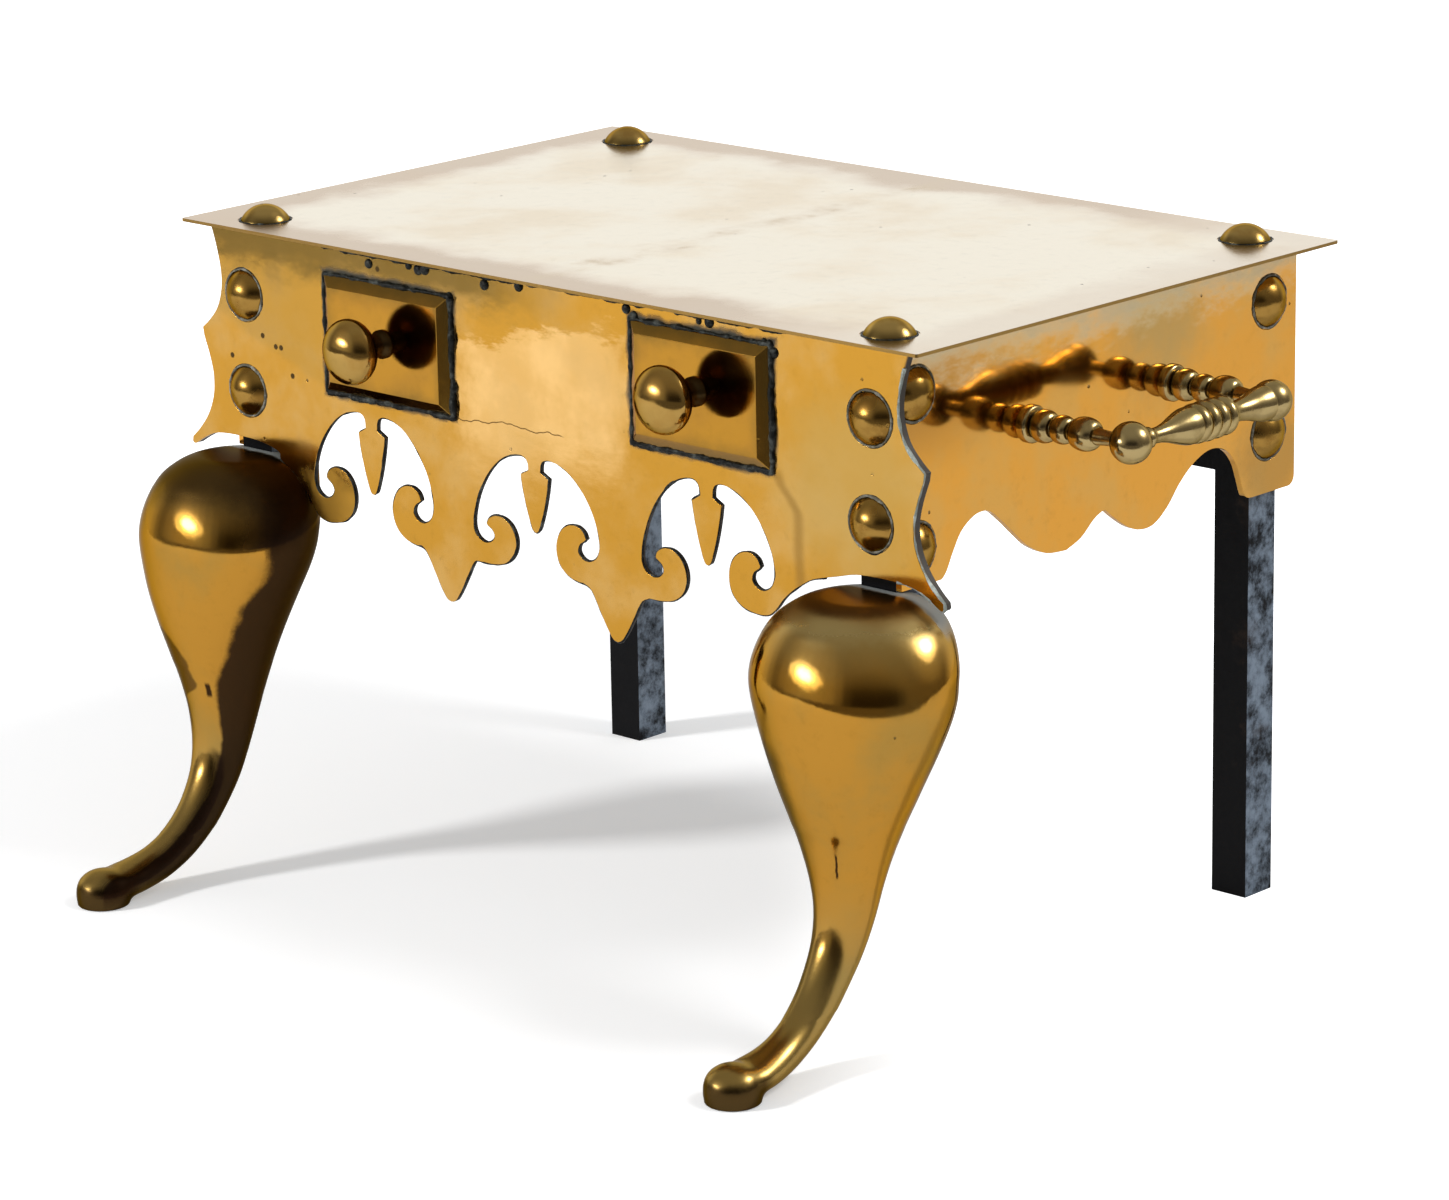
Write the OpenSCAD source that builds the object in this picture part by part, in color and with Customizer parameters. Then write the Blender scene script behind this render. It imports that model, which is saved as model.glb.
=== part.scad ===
// Footman trivet: a hearth stand with a sheet brass top on an iron frame, cast cabriole
// front legs, a pierced front apron with two sham drawers, and a turned handle at each end.
// Sizes are millimetres. X runs along the front, Y runs to the back and Z points up.
// The origin is on the floor, at the middle of the whole stand.

/* [Top plate] */
// Height of the top face above the floor
stand_h = 300; // [290:1:315]
// Width of the top plate
plate_w = 441; // [432:1:460]
// Depth of the top plate
plate_d = 283; // [276:1:300]
// Thickness of the top plate
plate_t = 1.5; // [1:0.1:2.5]
// Reach of the plate in front of the front apron
front_lip = 7.5; // [5:0.5:10]
// Reach of the plate beyond each side apron
side_lip = 19.5; // [17:0.5:22]
// Reach of the plate behind the rear legs
rear_lip = 14.5; // [12:0.5:18]
// Radius of the plate's corners
plate_corner_r = 1.2; // [0.5:0.1:3]

/* [Iron frame] */
// Side of the square bar of the posts and rear legs
bar = 19; // [18:0.5:20.5]
// Thickness of the flat rails under the plate
rail_t = 6; // [5:0.5:7]
// Height of the cross bar between the rear legs
cross_bar_h = 18; // [14:1:19]
// Thickness of the cross bar between the rear legs
cross_bar_t = 12; // [10:0.5:14]
// Floor to the lower edge of the cross bar
cross_bar_z = 195; // [180:1:198]
// Diameter of the cross bar's round tenons
tenon_d = 8; // [6:0.5:9]
// Length of the cross bar's round tenons
tenon_l = 11; // [8:0.5:13]

/* [Front apron] */
// Thickness of the front apron casting
apron_t = 4.5; // [3.5:0.5:5.5]
// Plate to the top of the arch over each knee
arch_drop = 98; // [96:0.5:100]
// Plate to the lower edge of the scrolls
skirt_drop = 130.5; // [128:0.5:133]
// Thickness of the pierced skirt, which is thinned from behind
skirt_t = 2.6; // [2:0.1:3.5]
// Distance between the outer spear points and the posts
spear_to_post = 86.5; // [84:0.5:89]
// Sideways offset of the hand-cut piercings
piercing_shift = -5.7; // [-7:0.1:0]
// Sideways offset of the two pendants from the middle between spear points
pendant_shift = -3; // [-4:0.5:4]
// Depth of the pendants below the scrolls
pendant_l = 22.3; // [18:0.1:26]

/* [Side aprons] */
// Thickness of the side aprons
side_t = 3; // [2.5:0.5:4]
// Reach of each side apron behind the rear legs
side_tail = 10; // [8:0.5:11]
// Plate to the lower edge of the rear pad
rear_pad_drop = 111; // [109:0.5:113]
// Plate to the lower edge of the front pad
front_pad_drop = 103.5; // [103:0.5:105]

/* [Sham drawers] */
// Width of each sham drawer front
drawer_w = 79; // [74:1:84]
// Height of each sham drawer front
drawer_h = 53; // [48:1:54]
// Thickness of each sham drawer front
drawer_t = 4; // [3:0.5:6]
// Width of the bevelled border
drawer_bevel = 4.8; // [3:0.1:7]
// Middle of the stand to the middle of each drawer front
drawer_x = 94.5; // [90:0.5:98]
// Plate to the middle of the left drawer front
left_drawer_drop = 40.6; // [36:0.1:43]
// Plate to the middle of the right drawer front
right_drawer_drop = 35; // [32:0.1:43]
// Height of the left knob above the middle of its drawer front
left_knob_lift = 0.6; // [-3:0.1:3]
// Height of the right knob above the middle of its drawer front
right_knob_lift = 1.8; // [-3:0.1:3]
// Diameter of the knobs
knob_d = 29.6; // [25:0.1:33]
// Thickness of the knobs from front to back
knob_t = 18.4; // [14:0.1:22]
// Drawer front to the middle of the knob
knob_reach = 19.5; // [17:0.5:24]
// Diameter of the knob's stem
knob_stem_d = 9; // [8:0.5:11]

/* [Studs and screws] */
// Diameter of the domed stud heads
stud_d = 22.6; // [20:0.1:24]
// Height of the domed stud heads on the aprons
stud_h = 6; // [4:0.5:8]
// Height of the domed stud heads on the top plate
top_stud_h = 7.2; // [5:0.1:9]
// Distance of the top studs from the posts' axes, towards the middle of the plate
top_stud_inset = 1; // [0:0.5:2]
// Diameter of the stud shanks
shank_d = 6; // [5:0.5:7]
// Ring of clear seat round each stud head
seat_margin = 1.2; // [0.8:0.1:1.5]
// Depth of the spot-faced seat under each stud head
seat_depth = 0.3; // [0.1:0.1:0.5]
// Length of stud shank that goes into the iron
shank_grip = 12; // [8:0.5:13]
// Clearance round shanks, bolts and posts in their holes
fit_gap = 0.1; // [0.05:0.05:0.2]
// Plate to the upper studs of the front apron
front_upper_drop = 31.2; // [30:0.1:34]
// Plate to the lower studs of the front apron
front_lower_drop = 75.8; // [70:0.1:80]
// Plate to the upper front studs of the side aprons
side_upper_front_drop = 21.7; // [20:0.1:23]
// Plate to the lower front studs of the side aprons
side_lower_front_drop = 87.5; // [86:0.1:90]
// Plate to the upper rear studs of the side aprons
side_upper_rear_drop = 24.5; // [20:0.1:30]
// Plate to the lower rear studs of the side aprons
side_lower_rear_drop = 84; // [78:0.1:90]

/* [Cabriole legs] */
// Gap between the arch and the top of the knee
knee_gap = 6; // [5:0.5:8]
// Offset of the knee's axis forwards from the apron's face
leg_forward = 13.5; // [12:0.5:15]
// Depth of the socket that holds the iron post
socket_depth = 30; // [24:1:34]
// Wall of the cast socket behind the knee
socket_wall = 4; // [3.5:0.5:5]
// Diameter of the leg's fixing screw
leg_screw_d = 6; // [5:0.5:8]

/* [Handles] */
// Distance between the two arms of a handle
handle_span = 94; // [90:1:100]
// Middle of the handle behind the middle of the plate
handle_y = 1.5; // [-6:0.5:6]
// Plate to the axis of the handle
handle_drop = 48.3; // [45:0.1:52]
// Side apron to the axis of the grip
handle_reach = 53; // [50:1:60]
// Diameter of the corner balls
ball_d = 18; // [16:0.5:20]
// Diameter of the collars against the side apron
collar_d = 16.4; // [15:0.2:19]
// Thickness of the collars against the side apron
collar_t = 2.6; // [2:0.2:4]
// Diameter of the arms' bolts
handle_bolt_d = 6; // [5:0.5:7]
// Diameter of the grip's round tenons
grip_tenon_d = 5; // [4:0.5:6]
// Length of the grip's round tenons
grip_tenon_l = 3; // [2:0.5:3.5]

/* [Nuts] */
// Distance across the flats of the nuts
nut_af = 11; // [10:0.5:13]
// Thickness of the nuts
nut_t = 5; // [4:0.5:6]
// Length of thread that shows past each nut
thread_tail = 2; // [1:0.5:4]

/* [Hidden] */
$fn = 48;

brass = [0.80, 0.60, 0.24];
pale_brass = [0.90, 0.82, 0.62];
dark_brass = [0.62, 0.46, 0.18];
iron = [0.16, 0.17, 0.19];

// Heights
under_z = stand_h - plate_t;
post_top_z = under_z - rail_t;
arch_z = under_z - arch_drop;
leg_h = min(arch_z - knee_gap, under_z - front_pad_drop - 0.3);
skirt_z = under_z - skirt_drop;
handle_z = under_z - handle_drop;

// Depths, measured from the middle of the plate
apron_face_y = -plate_d / 2 + front_lip;
apron_back_y = apron_face_y + apron_t;
front_post_y = apron_back_y + bar / 2;
rear_leg_y = plate_d / 2 - rear_lip - bar / 2;
side_rear_y = rear_leg_y + bar / 2 + side_tail;

// Widths, measured from the middle of the plate
side_face_x = plate_w / 2 - side_lip;
side_inner_x = side_face_x - side_t;
post_x = side_inner_x - bar / 2;
top_stud_x = post_x - top_stud_inset;
leg_y = apron_face_y - leg_forward;
spear_x = post_x - spear_to_post;

// The toe is the front of the stand and the plate's edge is its back
toe_reach = 94.8;
box_mid_y = (leg_y - toe_reach + plate_d / 2) / 2;

seat_d = stud_d + 2 * seat_margin;
front_stud_drops = [front_upper_drop, front_lower_drop];
side_front_stud_drops = [side_upper_front_drop, side_lower_front_drop];
side_rear_stud_drops = [side_upper_rear_drop, side_lower_rear_drop];
drawer_drop = [left_drawer_drop, right_drawer_drop];
knob_lift = [left_knob_lift, right_knob_lift];
shank_hole_d = shank_d + 2 * fit_gap;
bolt_hole_d = handle_bolt_d + 2 * fit_gap;

// Points of a smooth curve through the given ones, with a few steps between each pair
function smooth(p, steps = 4) = concat(
    [for (i = [0 : len(p) - 2], k = [0 : steps - 1])
        spline_at(p[max(i - 1, 0)], p[i], p[i + 1], p[min(i + 2, len(p) - 1)], k / steps)],
    [p[len(p) - 1]]);
function spline_at(a, b, c, d, t) =
    b + t * (c - a) / 2 + t * t * (a - 2.5 * b + 2 * c - d / 2)
    + t * t * t * (1.5 * (b - c) + (d - a) / 2);
function reversed(p) = [for (i = [len(p) - 1 : -1 : 0]) p[i]];
function flipped(p) = [for (q = reversed(p)) [-q[0], q[1]]];
function shifted(p, x, z) = [for (q = p) [q[0] + x, q[1] + z]];

// Moves a piece from the plate's middle to the middle of the whole stand
module in_place() {
    translate([0, -box_mid_y, 0]) children();
}

// Draws the right hand piece, or its mirror image on the left
module on_side(side) {
    in_place() mirror([side < 0 ? 1 : 0, 0, 0]) children();
}

// A vertical outline in X and Z, given its front face and its thickness to the back
module upright(face_y, thickness) {
    translate([0, face_y + thickness, 0]) rotate([90, 0, 0])
        linear_extrude(height = thickness) children();
}

// A turned piece along Z, from [distance along, radius] pairs
module turned(profile) {
    rotate_extrude() polygon(concat(
        [[0, profile[0][0]]],
        [for (q = profile) [q[1], q[0]]],
        [[0, profile[len(profile) - 1][0]]]));
}

// Profile of one bead between two places along a turned piece
function bead(from, to, edge_r, mid_r, steps = 8) = [for (k = [0 : steps])
    [from + (to - from) * (1 - cos(180 * k / steps)) / 2,
     edge_r + (mid_r - edge_r) * sin(180 * k / steps)]];

module rod(d, from, to) {
    translate([0, 0, from]) cylinder(d = d, h = to - from);
}

module hex_nut(hole_d) {
    difference() {
        cylinder(d = nut_af / cos(30), h = nut_t, $fn = 6);
        rod(hole_d, -1, nut_t + 1);
    }
}

// Places: the four posts, as [side, y]
corners = [for (side = [-1, 1], y = [front_post_y, rear_leg_y]) [side, y]];

// Top plate
module top_plate() {
    color(pale_brass) in_place() difference() {
        translate([0, 0, under_z]) linear_extrude(height = plate_t) plate_outline();
        for (c = corners) translate([c[0] * top_stud_x, c[1], 0]) {
            rod(shank_hole_d, under_z - 1, stand_h + 1);
            rod(seat_d, stand_h - seat_depth, stand_h + 1);
        }
    }
}

module plate_outline() {
    in_x = plate_w / 2 - plate_corner_r;
    in_y = plate_d / 2 - plate_corner_r;
    square([plate_w, 2 * in_y], center = true);
    square([2 * in_x, plate_d], center = true);
    for (x = [-in_x, in_x], y = [-in_y, in_y]) translate([x, y]) circle(plate_corner_r);
}

// Front apron, as heights above the lower edge of the scrolls or below the plate
end_upper = [[21, 0], [17.5, -10.5], [15.1, -21.5], [15.3, -30.5], [18.5, -39.5],
             [24.5, -46.3], [29, -50]];
end_lower = [[28.3, -54], [24.8, -63.5], [22.9, -72.5], [23.8, -82], [28, -91.3],
             [34, -98.5], [39, -103]];
tip_and_arch = [[39.4, -105.2], [37.6, -106.3], [31.5, -102.8], [24.5, -99.6], [16.5, -98.3],
                [4.5, -98], [-8.5, -98.8], [-19, -101.4]];
// Drawn heights of the arch's top, of the scrolls' lower edge, and of where the scroll begins
drawn_arch = -98;
drawn_skirt = -130.5;
drawn_mid = -104;
arch_to_scroll = [[60.5, -104.8], [54, -109], [48, -114], [43, -119.5], [39, -125.5],
                  [35, -129.4], [30.5, -130.5]];

// Hand-cut sizes, from left to right: top of each piercing above the skirt line, length of
// each spear, then the height of each scroll and its lower edge above the skirt line
piercing_tops = [55.5, 52, 58];
spear_lengths = [36.7, 33.6, 36.7];
scroll_sizes = [26, 26.5, 22.5, 25.2, 24, 26];
scroll_lifts = [1.5, 0, -0.5, 0.3, 0.7, 5];

// The outline from the arch to the end scroll, fitted to how high that scroll was cut
function arch_to_end(side) =
    let (lift = scroll_lifts[side < 0 ? 0 : 5])
    [for (q = arch_to_scroll)
        [q[0], q[1] + lift * (drawn_mid - q[1]) / (drawn_mid - drawn_skirt)]];

function apron_end(side) = concat(
    smooth(shifted(end_upper, post_x, under_z)),
    smooth(shifted(end_lower, post_x, under_z)),
    smooth(concat(
        shifted(tip_and_arch, post_x, arch_z - drawn_arch),
        shifted(arch_to_end(side), spear_x + side * piercing_shift, skirt_z - drawn_skirt))));

// Half of a piercing, from the spear's neck round the lobe to the hook, then round the scroll
lobe = [[3.7, 48], [3.9, 52.6], [5.6, 55.2], [9.5, 56], [16, 54.5], [22.5, 50.7], [29, 44],
        [34.3, 35.5], [37.6, 26.5], [38.5, 19], [36.6, 13.7], [32.3, 11.2], [28, 12],
        [25.6, 15], [26.6, 18.4], [29.6, 20.6]];
scroll = [[30.4, 21.4], [28.8, 24.6], [24.8, 26.8], [20, 26.4], [15.6, 23.3], [12.8, 18],
          [12.4, 12], [14.6, 6.2], [19.6, 2], [26, 0.3], [33, 0]];
spear = [[3.7, 49.2], [8.4, 46.6], [7.4, 40], [5.4, 31], [3.3, 24], [1.6, 19.8], [0, 18.8]];
pendant = [[19, 0.4], [15.6, -1.1], [13.2, -4.2], [10.6, -9], [7.6, -14.2], [4.8, -18.6],
           [2.4, -21.5], [0, -22.3]];
// Drawn heights of a piercing's top, of a scroll and of a spear
lobe_h = 56;
scroll_h = 26.8;
hook_h = 20.6;
spear_l = 37.2;
below = -40;

// A drawn height moved to one hand-cut half: the scroll is fitted between its own lower edge
// and height, and the lobe between the scroll's hook and the top of the piercing
function cut_height(z, lift, size, top) =
    z < 0 ? z :
    z <= hook_h ? lift + z * size / scroll_h :
    let (hook = lift + hook_h * size / scroll_h)
    hook + (z - hook_h) * (top - hook) / (lobe_h - hook_h);
function cut_scroll(p, lift, size) = [for (q = p) [q[0], lift + q[1] * size / scroll_h]];
function cut_lobe(p, lift, size, top) = [for (q = p) [q[0], cut_height(q[1], lift, size, top)]];

module piercing_half(lift, size, top) {
    lobe_points = smooth(cut_lobe(lobe, lift, size, top));
    polygon(concat([[-0.5, lobe_points[0][1]]], lobe_points, smooth(cut_scroll(scroll, lift, size)),
                   [[46, lift], [46, below], [-0.5, below]]));
}

module spear_outline(top, length) {
    drawn = concat([[spear[0][0], lobe_h - 3]], [spear[0]], smooth([for (i = [1 : 6]) spear[i]]));
    shaft = [for (q = drawn) [q[0], top - (lobe_h - q[1]) * length / spear_l]];
    polygon(concat(shaft, flipped(shaft)));
}

module pendant_outline() {
    half = [for (q = smooth(pendant)) [q[0], q[1] < 0 ? q[1] * pendant_l / 22.3 : q[1]]];
    polygon(concat([[19, 3]], half, flipped(half), [[-19, 3]]));
}

module front_apron_outline() {
    right = apron_end(1);
    left = flipped(apron_end(-1));
    difference() {
        polygon(concat(right, [[right[len(right) - 1][0], skirt_z - 2], [left[0][0], skirt_z - 2]], left));
        for (i = [0 : 2], m = [0, 1])
            translate([(i - 1) * spear_x + piercing_shift, skirt_z]) mirror([1 - m, 0])
                piercing_half(scroll_lifts[2 * i + m], scroll_sizes[2 * i + m], piercing_tops[i]);
    }
    for (i = [0 : 2]) translate([(i - 1) * spear_x + piercing_shift, skirt_z])
        spear_outline(piercing_tops[i], spear_lengths[i]);
    for (i = [-0.5, 0.5])
        translate([i * spear_x + piercing_shift + pendant_shift, skirt_z]) pendant_outline();
}

module front_apron() {
    color(brass) in_place() difference() {
        upright(apron_face_y, apron_t) front_apron_outline();
        for (side = [-1, 1], drop = front_stud_drops)
            translate([side * post_x, apron_face_y, under_z - drop]) rotate([-90, 0, 0]) {
                rod(shank_hole_d, -1, apron_t + 1);
                rod(seat_d, -1, seat_depth);
            }
        for (side = [-1, 1]) knob_place(side) rod(bolt_hole_d, -apron_t - 1, 1);
        translate([-relief_x, apron_face_y + skirt_t, skirt_z + below])
            cube([2 * relief_x, apron_t, relief_top - below]);
    }
}
relief_x = spear_x + 54;
relief_top = 63;

// Side aprons, as [y from the post, height below the plate]
front_pad_and_arch = [[15.8, -front_pad_drop], [17.2, 1 - front_pad_drop], [19.4, -100],
                      [23.3, -93], [28.5, -85.5], [35.5, -81], [41.5, -79.7], [47.5, -81],
                      [56, -87.5], [64, -94.5], [72.5, -101.3], [84, -106.6], [97, -108]];
cusp_front = [[97, -108], [107, -104.6], [115.5, -98.4], [121.5, -95.8]];
lobe_rear = [[-114, -95.8], [-107.5, -100.8], [-97.5, -107], [-89, -109.5], [-80.5, -108.8],
             [-71.5, -103.2], [-63, -94.4], [-54.5, -88], [-46.5, -84.4], [-39.5, -83.3],
             [-32.5, -84.8], [-27, -88.5], [-22.4, -94.5], [-19, -103], [-16.6, -109],
             [-13.5, -110.8]];
pad_corner_r = 4.5;

module side_apron_outline() {
    pad_z = under_z - rear_pad_drop;
    polygon(concat(
        [[apron_back_y, under_z], [apron_back_y, under_z - front_pad_drop]],
        smooth(shifted(front_pad_and_arch, front_post_y, under_z)),
        smooth(shifted(cusp_front, front_post_y, under_z)),
        smooth(shifted(lobe_rear, rear_leg_y, under_z)),
        [[rear_leg_y - 11, pad_z], [side_rear_y - pad_corner_r, pad_z],
         [side_rear_y - pad_corner_r, under_z]]));
    translate([side_rear_y - 2 * pad_corner_r, pad_z + pad_corner_r])
        square([2 * pad_corner_r, rear_pad_drop - pad_corner_r]);
    translate([side_rear_y - pad_corner_r, pad_z + pad_corner_r]) circle(pad_corner_r);
}

module side_apron(side) {
    color(brass) on_side(side) difference() {
        translate([side_inner_x, 0, 0]) rotate([90, 0, 90])
            linear_extrude(height = side_t) side_apron_outline();
        side_stud_places() {
            rod(shank_hole_d, -side_t - 1, 1);
            rod(seat_d, -seat_depth, 1);
        }
        for (end = [-1, 1]) handle_root(end) rod(bolt_hole_d, -side_t - 1, 1);
    }
}

// The studs of a side apron, with Z out of its face
module side_stud_places() {
    for (drop = side_front_stud_drops)
        translate([side_face_x, front_post_y, under_z - drop]) rotate([0, 90, 0]) children();
    for (drop = side_rear_stud_drops)
        translate([side_face_x, rear_leg_y, under_z - drop]) rotate([0, 90, 0]) children();
}

// A domed stud with Z out of the sheet, whose shank goes through and into the iron
module stud(sheet_t, grip, head_h = stud_h) {
    dome_r = (pow(stud_d / 2, 2) + pow(head_h, 2)) / (2 * head_h);
    translate([0, 0, -seat_depth]) intersection() {
        translate([0, 0, head_h - dome_r]) sphere(dome_r, $fn = 64);
        cylinder(d = stud_d + 1, h = head_h + 1);
    }
    rod(shank_d, -sheet_t - grip, -seat_depth);
}

// The hole in the iron that a stud's shank goes into
module shank_hole(sheet_t, grip) {
    rod(shank_hole_d, -sheet_t - grip - 1, -sheet_t + 1);
}

module top_studs() {
    color(dark_brass) in_place()
        for (c = corners) translate([c[0] * top_stud_x, c[1], stand_h])
            stud(plate_t + rail_t, shank_grip - 3, top_stud_h);
}

module front_stud_places(side) {
    for (drop = front_stud_drops)
        translate([side * post_x, apron_face_y, under_z - drop]) rotate([90, 0, 0]) children();
}

module front_apron_studs() {
    color(dark_brass) in_place()
        for (side = [-1, 1]) front_stud_places(side) stud(apron_t, shank_grip);
}

module side_studs(side) {
    color(dark_brass) on_side(side) side_stud_places() stud(side_t, shank_grip);
}

// Sham drawer fronts
module drawer_place(side) {
    drop = drawer_drop[side < 0 ? 0 : 1];
    translate([side * drawer_x, apron_face_y, under_z - drop]) rotate([90, 0, 0]) children();
}

module knob_place(side) {
    drawer_place(side) translate([0, knob_lift[side < 0 ? 0 : 1], 0]) children();
}

module drawer_front(side) {
    base_t = drawer_t / 4;
    color(brass) in_place() drawer_place(side) difference() {
        hull() {
            translate([-drawer_w / 2, -drawer_h / 2, 0]) cube([drawer_w, drawer_h, base_t]);
            translate([-drawer_w / 2 + drawer_bevel, -drawer_h / 2 + drawer_bevel, 0])
                cube([drawer_w - 2 * drawer_bevel, drawer_h - 2 * drawer_bevel, drawer_t]);
        }
        translate([0, knob_lift[side < 0 ? 0 : 1], 0]) rod(bolt_hole_d, -1, drawer_t + 1);
    }
}

// Knobs turned with a flattened ball, and bolted through the drawer front and the apron
module drawer_knob(side) {
    ball_from = drawer_t + knob_reach - knob_t / 2;
    stem_r = knob_stem_d / 2;
    color(brass) in_place() knob_place(side) {
        turned(concat(
            [[drawer_t, stem_r + 2], [drawer_t + 1.2, stem_r + 2], [drawer_t + 2.6, stem_r + 0.6],
             [drawer_t + 4.5, stem_r], [ball_from - 0.6, stem_r]],
            [for (q = bead(ball_from, ball_from + knob_t, 0, knob_d / 2, 20))
                if (q[1] > stem_r || q[0] > ball_from + knob_t / 2) q]));
        rod(handle_bolt_d, -apron_t - nut_t - thread_tail, drawer_t);
    }
}

module drawer_knob_nuts() {
    color(iron) in_place() for (side = [-1, 1]) knob_place(side)
        translate([0, 0, -apron_t - nut_t]) hex_nut(bolt_hole_d);
}

// Cabriole legs, as rows of [outwards from the post, y from the knee's axis, z, half width,
// half depth]
leg_rows = [
    [1.4, 5.6, 194.5, 16, 16], [1.4, 5.5, 193.6, 20.5, 20], [1.4, 5.2, 191, 27, 26],
    [1.4, 4.6, 186, 34.2, 32.2], [1.4, 3.7, 181, 38.6, 34.6], [1.5, 2.6, 176, 41.4, 36],
    [1.6, 1.5, 171, 43.4, 36.8], [1.7, 0.4, 166, 44.7, 37.1], [1.9, -0.8, 160, 45.2, 37],
    [2.3, -1.4, 154, 44.8, 36.4], [2.8, -2.4, 145, 42.5, 34.7], [3.4, -4.2, 132, 37.4, 31.8],
    [3.5, -5.5, 118, 31.3, 28], [3.4, -6.1, 104, 25.4, 23.6], [3.2, -6.6, 90, 20, 19.4],
    [3.2, -7.5, 76, 15.9, 15.9],
    [3.5, -9.6, 62, 13.2, 13.2], [3.3, -13.8, 49, 11.4, 11.4], [3.2, -20, 38, 10.2, 10.2],
    [3.4, -28, 27.6, 9.3, 9.6], [4, -38.5, 18.6, 8.8, 9], [4.9, -50, 12.6, 9.1, 8.4],
    [5.8, -61, 9.6, 10.3, 7.9], [6.1, -71, 8.4, 11.6, 7.4], [6.2, -80, 8.4, 10.6, 6],
    [6.2, -87, 7.4, 5, 4.4]];
// The toe is a round pad, as [height, radius]
pad_profile = [[0, 11.8], [1.2, 12.3], [4.5, 12.6], [8.8, 12.3], [12, 10.9], [14.5, 8.3],
               [16.2, 4.9], [16.8, 2]];
pad_out = 6.2;
pad_y = pad_profile[2][1] - toe_reach;
// The two castings were filed by hand to slightly different girths, as [left, right]
knee_girths = [1.005, 1.038];
ankle_girths = [1.03, 0.995];
// How far each casting stands inwards of its post
leg_shifts = [0.8, -0.2];
leg_sides = 28;
leg_steps = 2;
// Above this drawn height the rings are level
level_above = 100;
drawn_leg_h = leg_rows[0][2];
leg_path = smooth(leg_rows, leg_steps);

// One ring of points: level round the knee, and square to the leg's path below it. The girth
// changes gradually above the ankle
function leg_ring(i, knee_girth, ankle_girth) =
    let (here = leg_path[i],
         before = leg_path[max(i - 1, 0)],
         after = leg_path[min(i + 1, len(leg_path) - 1)],
         step_y = here[2] > level_above ? 0 : after[1] - before[1],
         step_z = after[2] - before[2],
         along_y = step_y / norm([step_y, step_z]),
         along_z = step_z / norm([step_y, step_z]),
         g = ankle_girth + (knee_girth - ankle_girth) * min(1, max(0, (here[2] - 70) / 40)))
    [for (k = [0 : leg_sides - 1])
        let (a = 360 * k / leg_sides, w = g * here[3] * cos(a), d = g * here[4] * sin(a))
        [here[0] + w, here[1] - d * along_z, (here[2] + d * along_y) * leg_h / drawn_leg_h]];

module leg_body(knee_girth, ankle_girth) {
    points = [for (i = [0 : len(leg_path) - 1]) for (p = leg_ring(i, knee_girth, ankle_girth)) p];
    n = leg_sides;
    last = len(leg_path) - 1;
    faces = concat(
        [[for (k = [n - 1 : -1 : 0]) k]],
        [for (i = [0 : last - 1], k = [0 : n - 1], half = [0, 1])
            let (a = i * n + k, b = i * n + (k + 1) % n)
            half == 0 ? [a, b, a + n] : [b, b + n, a + n]],
        [[for (k = [0 : n - 1]) last * n + k]]);
    polyhedron(points = points, faces = faces, convexity = 6);
}

// The leg's fixing screw comes from behind, with Z pointing out of the leg's back
leg_screw_drop = socket_depth / 2;
knee_r = 43.5;
boss_w = bar + 2 * (fit_gap + socket_wall);
boss_drop = 8;
boss_back_y = leg_y + knee_r + 0.5;
boss_wall = boss_back_y - front_post_y - bar / 2;
module leg_screw_place() {
    translate([post_x, boss_back_y, leg_h - leg_screw_drop]) rotate([-90, 0, 0]) children();
}

// A saw cut in the top of the left knee takes the edge of the apron, which hangs lower there
apron_cut_l = 24;
apron_cut_h = 19;
apron_cut_reach = 42;

module cabriole_leg(side) {
    which = side < 0 ? 0 : 1;
    color(brass) on_side(side) difference() {
        union() {
            translate([post_x - leg_shifts[which], leg_y, 0]) {
                leg_body(knee_girths[which], ankle_girths[which]);
                translate([pad_out, pad_y, 0]) turned(smooth(pad_profile, 3));
            }
            translate([post_x - boss_w / 2, boss_back_y - boss_w, leg_h - socket_depth - socket_wall])
                cube([boss_w, boss_w, socket_depth + socket_wall - boss_drop]);
        }
        translate([post_x - bar / 2 - fit_gap, front_post_y - bar / 2 - fit_gap, leg_h - socket_depth])
            cube([bar + 2 * fit_gap, bar + 2 * fit_gap, socket_depth + 1]);
        leg_screw_place() rod(leg_screw_d + 2 * fit_gap, -boss_wall - 1, 1);
        if (side < 0)
            translate([post_x - apron_cut_reach, apron_face_y - fit_gap, leg_h - apron_cut_h])
                cube([apron_cut_l, apron_t + 2 * fit_gap, apron_cut_h + 1]);
    }
}

module leg_screws() {
    color(iron) for (side = [-1, 1]) on_side(side) leg_screw_place() difference() {
        union() {
            rod(leg_screw_d, -boss_wall - bar / 2, 0);
            rod(2 * leg_screw_d, 0, leg_screw_d / 2);
        }
        translate([-leg_screw_d - 1, -0.6, leg_screw_d / 4]) cube([2 * leg_screw_d + 2, 1.2, leg_screw_d]);
    }
}

// Iron posts that stand in the brass legs
module front_post(side) {
    bottom_z = leg_h - socket_depth;
    color(iron) on_side(side) difference() {
        translate([post_x - bar / 2, front_post_y - bar / 2, bottom_z])
            cube([bar, bar, post_top_z - bottom_z]);
        front_stud_places(1) shank_hole(apron_t, shank_grip);
        side_stud_places() shank_hole(side_t, shank_grip);
        translate([top_stud_x, front_post_y, stand_h]) shank_hole(plate_t + rail_t, shank_grip - 3);
        leg_screw_place() rod(leg_screw_d + 2 * fit_gap, -boss_wall - bar / 2 - 1, 1);
    }
}

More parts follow.
